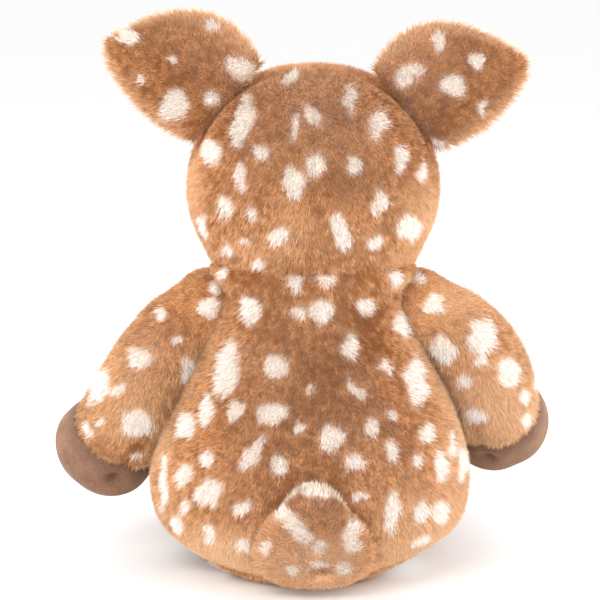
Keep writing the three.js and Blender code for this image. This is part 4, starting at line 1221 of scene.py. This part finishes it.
def muzzle_place(point):
    reach = point.z
    wide = np.interp(reach, [p.x for p in muzzle_line], [p.y for p in muzzle_line])
    high = np.interp(reach, [p.x for p in muzzle_line], [p.z for p in muzzle_line])
    ring = math.hypot(point.x, point.y)
    unit = (point.x / ring, point.y / ring) if ring > 1e-6 else (0, 0)
    return Vector((unit[0] * wide * MUZZLE["half_width"], MUZZLE["front"] - reach * MUZZLE["reach"],
                   MUZZLE["height"] + unit[1] * high * MUZZLE["half_height"]))


muzzle_form = moved(turned([(0, -0.5)] + [(max(p.y, 0), p.x) for p in muzzle_line], 72), muzzle_place)


def muzzle_comb(point, normal):
    return Vector((point.x * 12, 1, -0.2 + (point.z - MUZZLE["height"]) * 8))


muzzle = furry("muzzle_fur", muzzle_form, cream_fur, muzzle_comb, length=3, lean=0.9, seed=61,
               bare=lambda p: 0 if (p - Vector((0, -89 * MM, 184 * MM))).length < 8 * MM else 1)
settle(muzzle, "head", ["muzzle_skin"])


# %% Nose and eyes
def velour_material():
    material = bpy.data.materials.new("nose_velour")
    shader = shader_of(material)
    t = Tree(material.node_tree)
    place = t.add("ShaderNodeTexCoord", None, "Object")
    nap = t.add("ShaderNodeTexNoise", None, 0, Vector=place, Scale=1800.0, Detail=3.0)
    ramp = material.node_tree.nodes.new("ShaderNodeValToRGB")
    ramp.color_ramp.elements[0].color = (0.03, 0.015, 0.01, 1)
    ramp.color_ramp.elements[1].color = (0.13, 0.065, 0.045, 1)
    material.node_tree.links.new(nap, ramp.inputs[0])
    material.node_tree.links.new(ramp.outputs[0], shader.inputs["Base Color"])
    material.node_tree.links.new(t.add("ShaderNodeBump", None, 0, Strength=0.3, Distance=0.0002, Height=nap),
                                 shader.inputs["Normal"])
    shader.inputs["Roughness"].default_value = 0.8
    shader.inputs["Sheen Weight"].default_value = 0.5
    return material


def eye_material():
    material = bpy.data.materials.new("eye_plastic")
    shader = shader_of(material)
    t = Tree(material.node_tree)
    swirl = t.add("ShaderNodeTexNoise", None, 0, Vector=t.add("ShaderNodeTexCoord", None, "Object"), Scale=420.0)
    ramp = material.node_tree.nodes.new("ShaderNodeValToRGB")
    ramp.color_ramp.elements[0].color = (0.006, 0.004, 0.003, 1)
    ramp.color_ramp.elements[1].color = (0.03, 0.014, 0.008, 1)
    material.node_tree.links.new(swirl, ramp.inputs[0])
    material.node_tree.links.new(ramp.outputs[0], shader.inputs["Base Color"])
    shader.inputs["Roughness"].default_value = 0.08
    shader.inputs["Coat Weight"].default_value = 0.6
    shader.inputs["Coat Roughness"].default_value = 0.03
    return material


nose_bm = bmesh.new()
bmesh.ops.create_uvsphere(nose_bm, u_segments=40, v_segments=24, radius=1)


def nose_place(point):
    narrow = 1 - 0.25 * max(0, -point.z)
    return Vector((point.x * 9.5 * narrow, point.y * 5 - 86.2, point.z * 6.5 + 183.8)) * MM


nose = object_of("nose_velour", moved(nose_bm, nose_place), velour_material())
settle(nose, "head", ["nose"])
eye_plastic = eye_material()
for side, sign in (("left", 1), ("right", -1)):
    axis = eye_axis(sign)
    dome = [(EYE_RADIUS * math.cos(a), 4.6 * MM * math.sin(a)) for a in np.linspace(0, math.pi / 2, 16)]
    bm = turned([(0, -12 * MM), (2.3 * MM, -12 * MM), (2.3 * MM, -0.4 * MM), (5.9 * MM, -0.5 * MM)] + dome, 48)
    turn = axis.to_track_quat("Z", "Y").to_matrix()
    place = eye_places[0 if sign > 0 else 1] + axis * 0.3 * MM
    eye = object_of(f"eye_{side}_dome", moved(bm, lambda p: place + turn @ p), eye_plastic)
    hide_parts(f"eye_{side}")
    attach(eye, "head")

# %% [markdown]
# The mouth is a few embroidered stitches: one straight down from the nose and two that curve away from it. Each
# line is a thread laid on the muzzle, found by looking straight down on its skin from in front.


# %% Embroidered mouth
def thread_material():
    material = bpy.data.materials.new("mouth_thread")
    shader = shader_of(material)
    t = Tree(material.node_tree)
    twist = t.add("ShaderNodeTexNoise", None, 0, Vector=t.add("ShaderNodeTexCoord", None, "Object"), Scale=2600.0)
    ramp = material.node_tree.nodes.new("ShaderNodeValToRGB")
    ramp.color_ramp.elements[0].color = (0.035, 0.017, 0.01, 1)
    ramp.color_ramp.elements[1].color = (0.12, 0.06, 0.04, 1)
    material.node_tree.links.new(twist, ramp.inputs[0])
    material.node_tree.links.new(ramp.outputs[0], shader.inputs["Base Color"])
    shader.inputs["Roughness"].default_value = 0.55
    return material


def on_muzzle(x, z):
    """The point of the muzzle's skin at a place seen from in front, a little proud of it."""
    high = (z - MUZZLE["height"]) / MUZZLE["half_height"]
    for reach in np.linspace(1, 0, 200):
        wide = np.interp(reach, [p.x for p in muzzle_line], [p.y for p in muzzle_line])
        tall = np.interp(reach, [p.x for p in muzzle_line], [p.z for p in muzzle_line])
        if wide > 0 and math.hypot(x / (wide * MUZZLE["half_width"]), high / tall) < 1:
            break
    return Vector((x, MUZZLE["front"] - reach * MUZZLE["reach"] - 0.7 * MM, z))


mouth_lines = [[(0, 178.2), (0, 175.5), (0, 172.8)]] + [
    [(0, 172.8), (side * 2.6, 170.4), (side * 6, 169.4), (side * 9.4, 170.8)] for side in (1, -1)]
mouth_curve = bpy.data.curves.new("mouth", "CURVE")
mouth_curve.dimensions = "3D"
mouth_curve.bevel_depth, mouth_curve.bevel_resolution, mouth_curve.use_fill_caps = 0.62 * MM, 3, True
for line in mouth_lines:
    track = through([on_muzzle(x * MM, z * MM) for x, z in line], 14)
    spline = mouth_curve.splines.new("POLY")
    spline.points.add(len(track) - 1)
    for point, place in zip(spline.points, track):
        point.co = (*place, 1)
holder = bpy.data.objects.new("mouth_line", mouth_curve)
bpy.context.collection.objects.link(holder)
mouth_mesh = bpy.data.meshes.new_from_object(holder.evaluated_get(bpy.context.evaluated_depsgraph_get()))
bpy.data.objects.remove(holder)
mouth = bpy.data.objects.new("mouth_stitches", mouth_mesh)
bpy.context.collection.objects.link(mouth)
mouth_mesh.materials.clear()
mouth_mesh.materials.append(thread_material())
mouth_mesh.shade_smooth()
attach(mouth, "head")
print("mouth", len(mouth_mesh.polygons), "faces")

# %% [markdown]
# ## What is inside
#
# Under the skins lie cores of polyester fibre, and in the seat a cloth pouch of plastic pellets. Nobody sees
# them, but they are pieces of the toy: cores are softened copies of their solids, with the lumps that hand
# stuffing leaves, and the pellets are real beads, packed in layers.


# %% Fibre, pouch cloth, pellets and washers: their finishes
def clouded_material(name, dark, light, scale, roughness, bump_height, detail=4.0):
    """Two tones by noise, with the same noise as a fine relief."""
    material = bpy.data.materials.new(name)
    shader = shader_of(material)
    t = Tree(material.node_tree)
    cloud = t.add("ShaderNodeTexNoise", None, 0, Vector=t.add("ShaderNodeTexCoord", None, "Object"), Scale=scale,
                  Detail=detail, Distortion=0.6)
    ramp = material.node_tree.nodes.new("ShaderNodeValToRGB")
    ramp.color_ramp.elements[0].position, ramp.color_ramp.elements[0].color = 0.3, (*dark, 1)
    ramp.color_ramp.elements[1].position, ramp.color_ramp.elements[1].color = 0.7, (*light, 1)
    material.node_tree.links.new(cloud, ramp.inputs[0])
    material.node_tree.links.new(ramp.outputs[0], shader.inputs["Base Color"])
    material.node_tree.links.new(t.add("ShaderNodeBump", None, 0, Strength=0.6, Distance=bump_height,
                                       Height=cloud), shader.inputs["Normal"])
    shader.inputs["Roughness"].default_value = roughness
    return material


def weave_material():
    """Plain weave: two sets of threads, crossing at right angles, each 0.5 mm from the next."""
    material = bpy.data.materials.new("pouch_weave")
    shader = shader_of(material)
    t = Tree(material.node_tree)
    place = t.add("ShaderNodeTexCoord", None, "Object")
    warp = t.add("ShaderNodeTexWave", {"bands_direction": "X"}, 1, Vector=place, Scale=100.0, Distortion=0.4)
    weft = t.add("ShaderNodeTexWave", {"bands_direction": "Z"}, 1, Vector=place, Scale=100.0, Distortion=0.4)
    weave = t.math("MULTIPLY", warp, weft)
    ramp = material.node_tree.nodes.new("ShaderNodeValToRGB")
    ramp.color_ramp.elements[0].color = (0.5, 0.46, 0.4, 1)
    ramp.color_ramp.elements[1].color = (0.8, 0.76, 0.69, 1)
    material.node_tree.links.new(weave, ramp.inputs[0])
    material.node_tree.links.new(ramp.outputs[0], shader.inputs["Base Color"])
    material.node_tree.links.new(t.add("ShaderNodeBump", None, 0, Strength=0.5, Distance=0.0002, Height=weave),
                                 shader.inputs["Normal"])
    shader.inputs["Roughness"].default_value = 0.9
    return material


fibre = clouded_material("fibre", (0.72, 0.72, 0.7), (0.93, 0.93, 0.91), 260.0, 0.95, 0.0008)
pouch_weave = weave_material()
pellet_plastic = clouded_material("pellets", (0.62, 0.66, 0.69), (0.8, 0.83, 0.85), 90.0, 0.4, 0.00005, 1.0)
washer_plastic = clouded_material("washer_plastic", (0.78, 0.79, 0.79), (0.88, 0.89, 0.89), 700.0, 0.45, 0.00003)
for side in ("left", "right"):
    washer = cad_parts[f"eye_{side}_washer"]
    washer.data.materials.clear()
    washer.data.materials.append(washer_plastic)


# %% Cores of fibre and the pouch
def softened(node, body, name, material, lump):
    """A copy of a solid with its corners rounded and gentle lumps pressed in, so it stays inside its solid."""
    bm = bmesh.new()
    bm.from_mesh(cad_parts[node].data)
    bmesh.ops.remove_doubles(bm, verts=bm.verts, dist=0.001 * MM)
    bmesh.ops.subdivide_edges(bm, edges=[e for e in bm.edges if e.calc_length() > 9 * MM], cuts=1,
                              use_grid_fill=True)
    bmesh.ops.triangulate(bm, faces=[f for f in bm.faces if len(f.verts) > 3])
    for _ in range(2):
        bmesh.ops.smooth_vert(bm, verts=bm.verts, factor=0.4, use_axis_x=True, use_axis_y=True, use_axis_z=True)
    bm.normal_update()
    for vert in bm.verts:
        vert.co -= vert.normal * lump * (0.5 + 0.5 * noise.noise(vert.co * 70))
    piece = object_of(name, bm, material)
    settle(piece, body, [node])
    print(name, len(piece.data.polygons), "faces")
    return piece


for body, core in (("body", "body"), ("neck", "neck"), ("head", "head"), ("tail", "tail"),
                   *((name, name) for name in limbs)):
    softened(f"{core}_stuffing", body, f"{core}_fibre", fibre, 0.5 * MM)
pouch = softened("pellet_pouch", "body", "pellet_bag", pouch_weave, 0)

# %% Pellets
PELLET_RADIUS = 2.1 * MM
pellet_solid = bmesh.new()
pellet_solid.from_mesh(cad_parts["pellet_fill"].data)
bmesh.ops.remove_doubles(pellet_solid, verts=pellet_solid.verts, dist=0.001 * MM)
inside = bvhtree.BVHTree.FromBMesh(pellet_solid)
pellet_solid.free()
low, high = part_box("pellet_fill")
pellets = bmesh.new()
across_step, down_step, layer_step = 2.2 * PELLET_RADIUS, 1.92 * PELLET_RADIUS, 1.82 * PELLET_RADIUS
for layer in range(int((high.z - low.z) / layer_step) + 1):
    for row in range(int((high.y - low.y) / down_step) + 1):
        for column in range(int((high.x - low.x) / across_step) + 1):
            shift = (row % 2 + layer % 2) * 0.5
            place = low + Vector(((column + shift) * across_step, (row + layer % 2 / 3) * down_step,
                                  (layer + 0.6) * layer_step))
            place += noise.noise_vector(place * 900) * 0.25 * MM
            nearest, normal, _, far = inside.find_nearest(place)
            if (place - nearest).dot(normal) > 0 or far < PELLET_RADIUS:
                continue
            bmesh.ops.create_icosphere(pellets, subdivisions=1, radius=PELLET_RADIUS,
                                       matrix=Matrix.Translation(place))
print("pellets", len(pellets.faces) // 20)
pellet_piece = object_of("pellet_beads", pellets, pellet_plastic)
settle(pellet_piece, "body", ["pellet_fill"])

# %% [markdown]
# ## Last, the sizes
#
# The fur stands a few millimetres outside the solids. The box round everything shown is printed.

# %% Print the box round everything shown
low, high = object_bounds()
print("visual box", [round(v / MM, 1) for v in (high - low)], "mm")
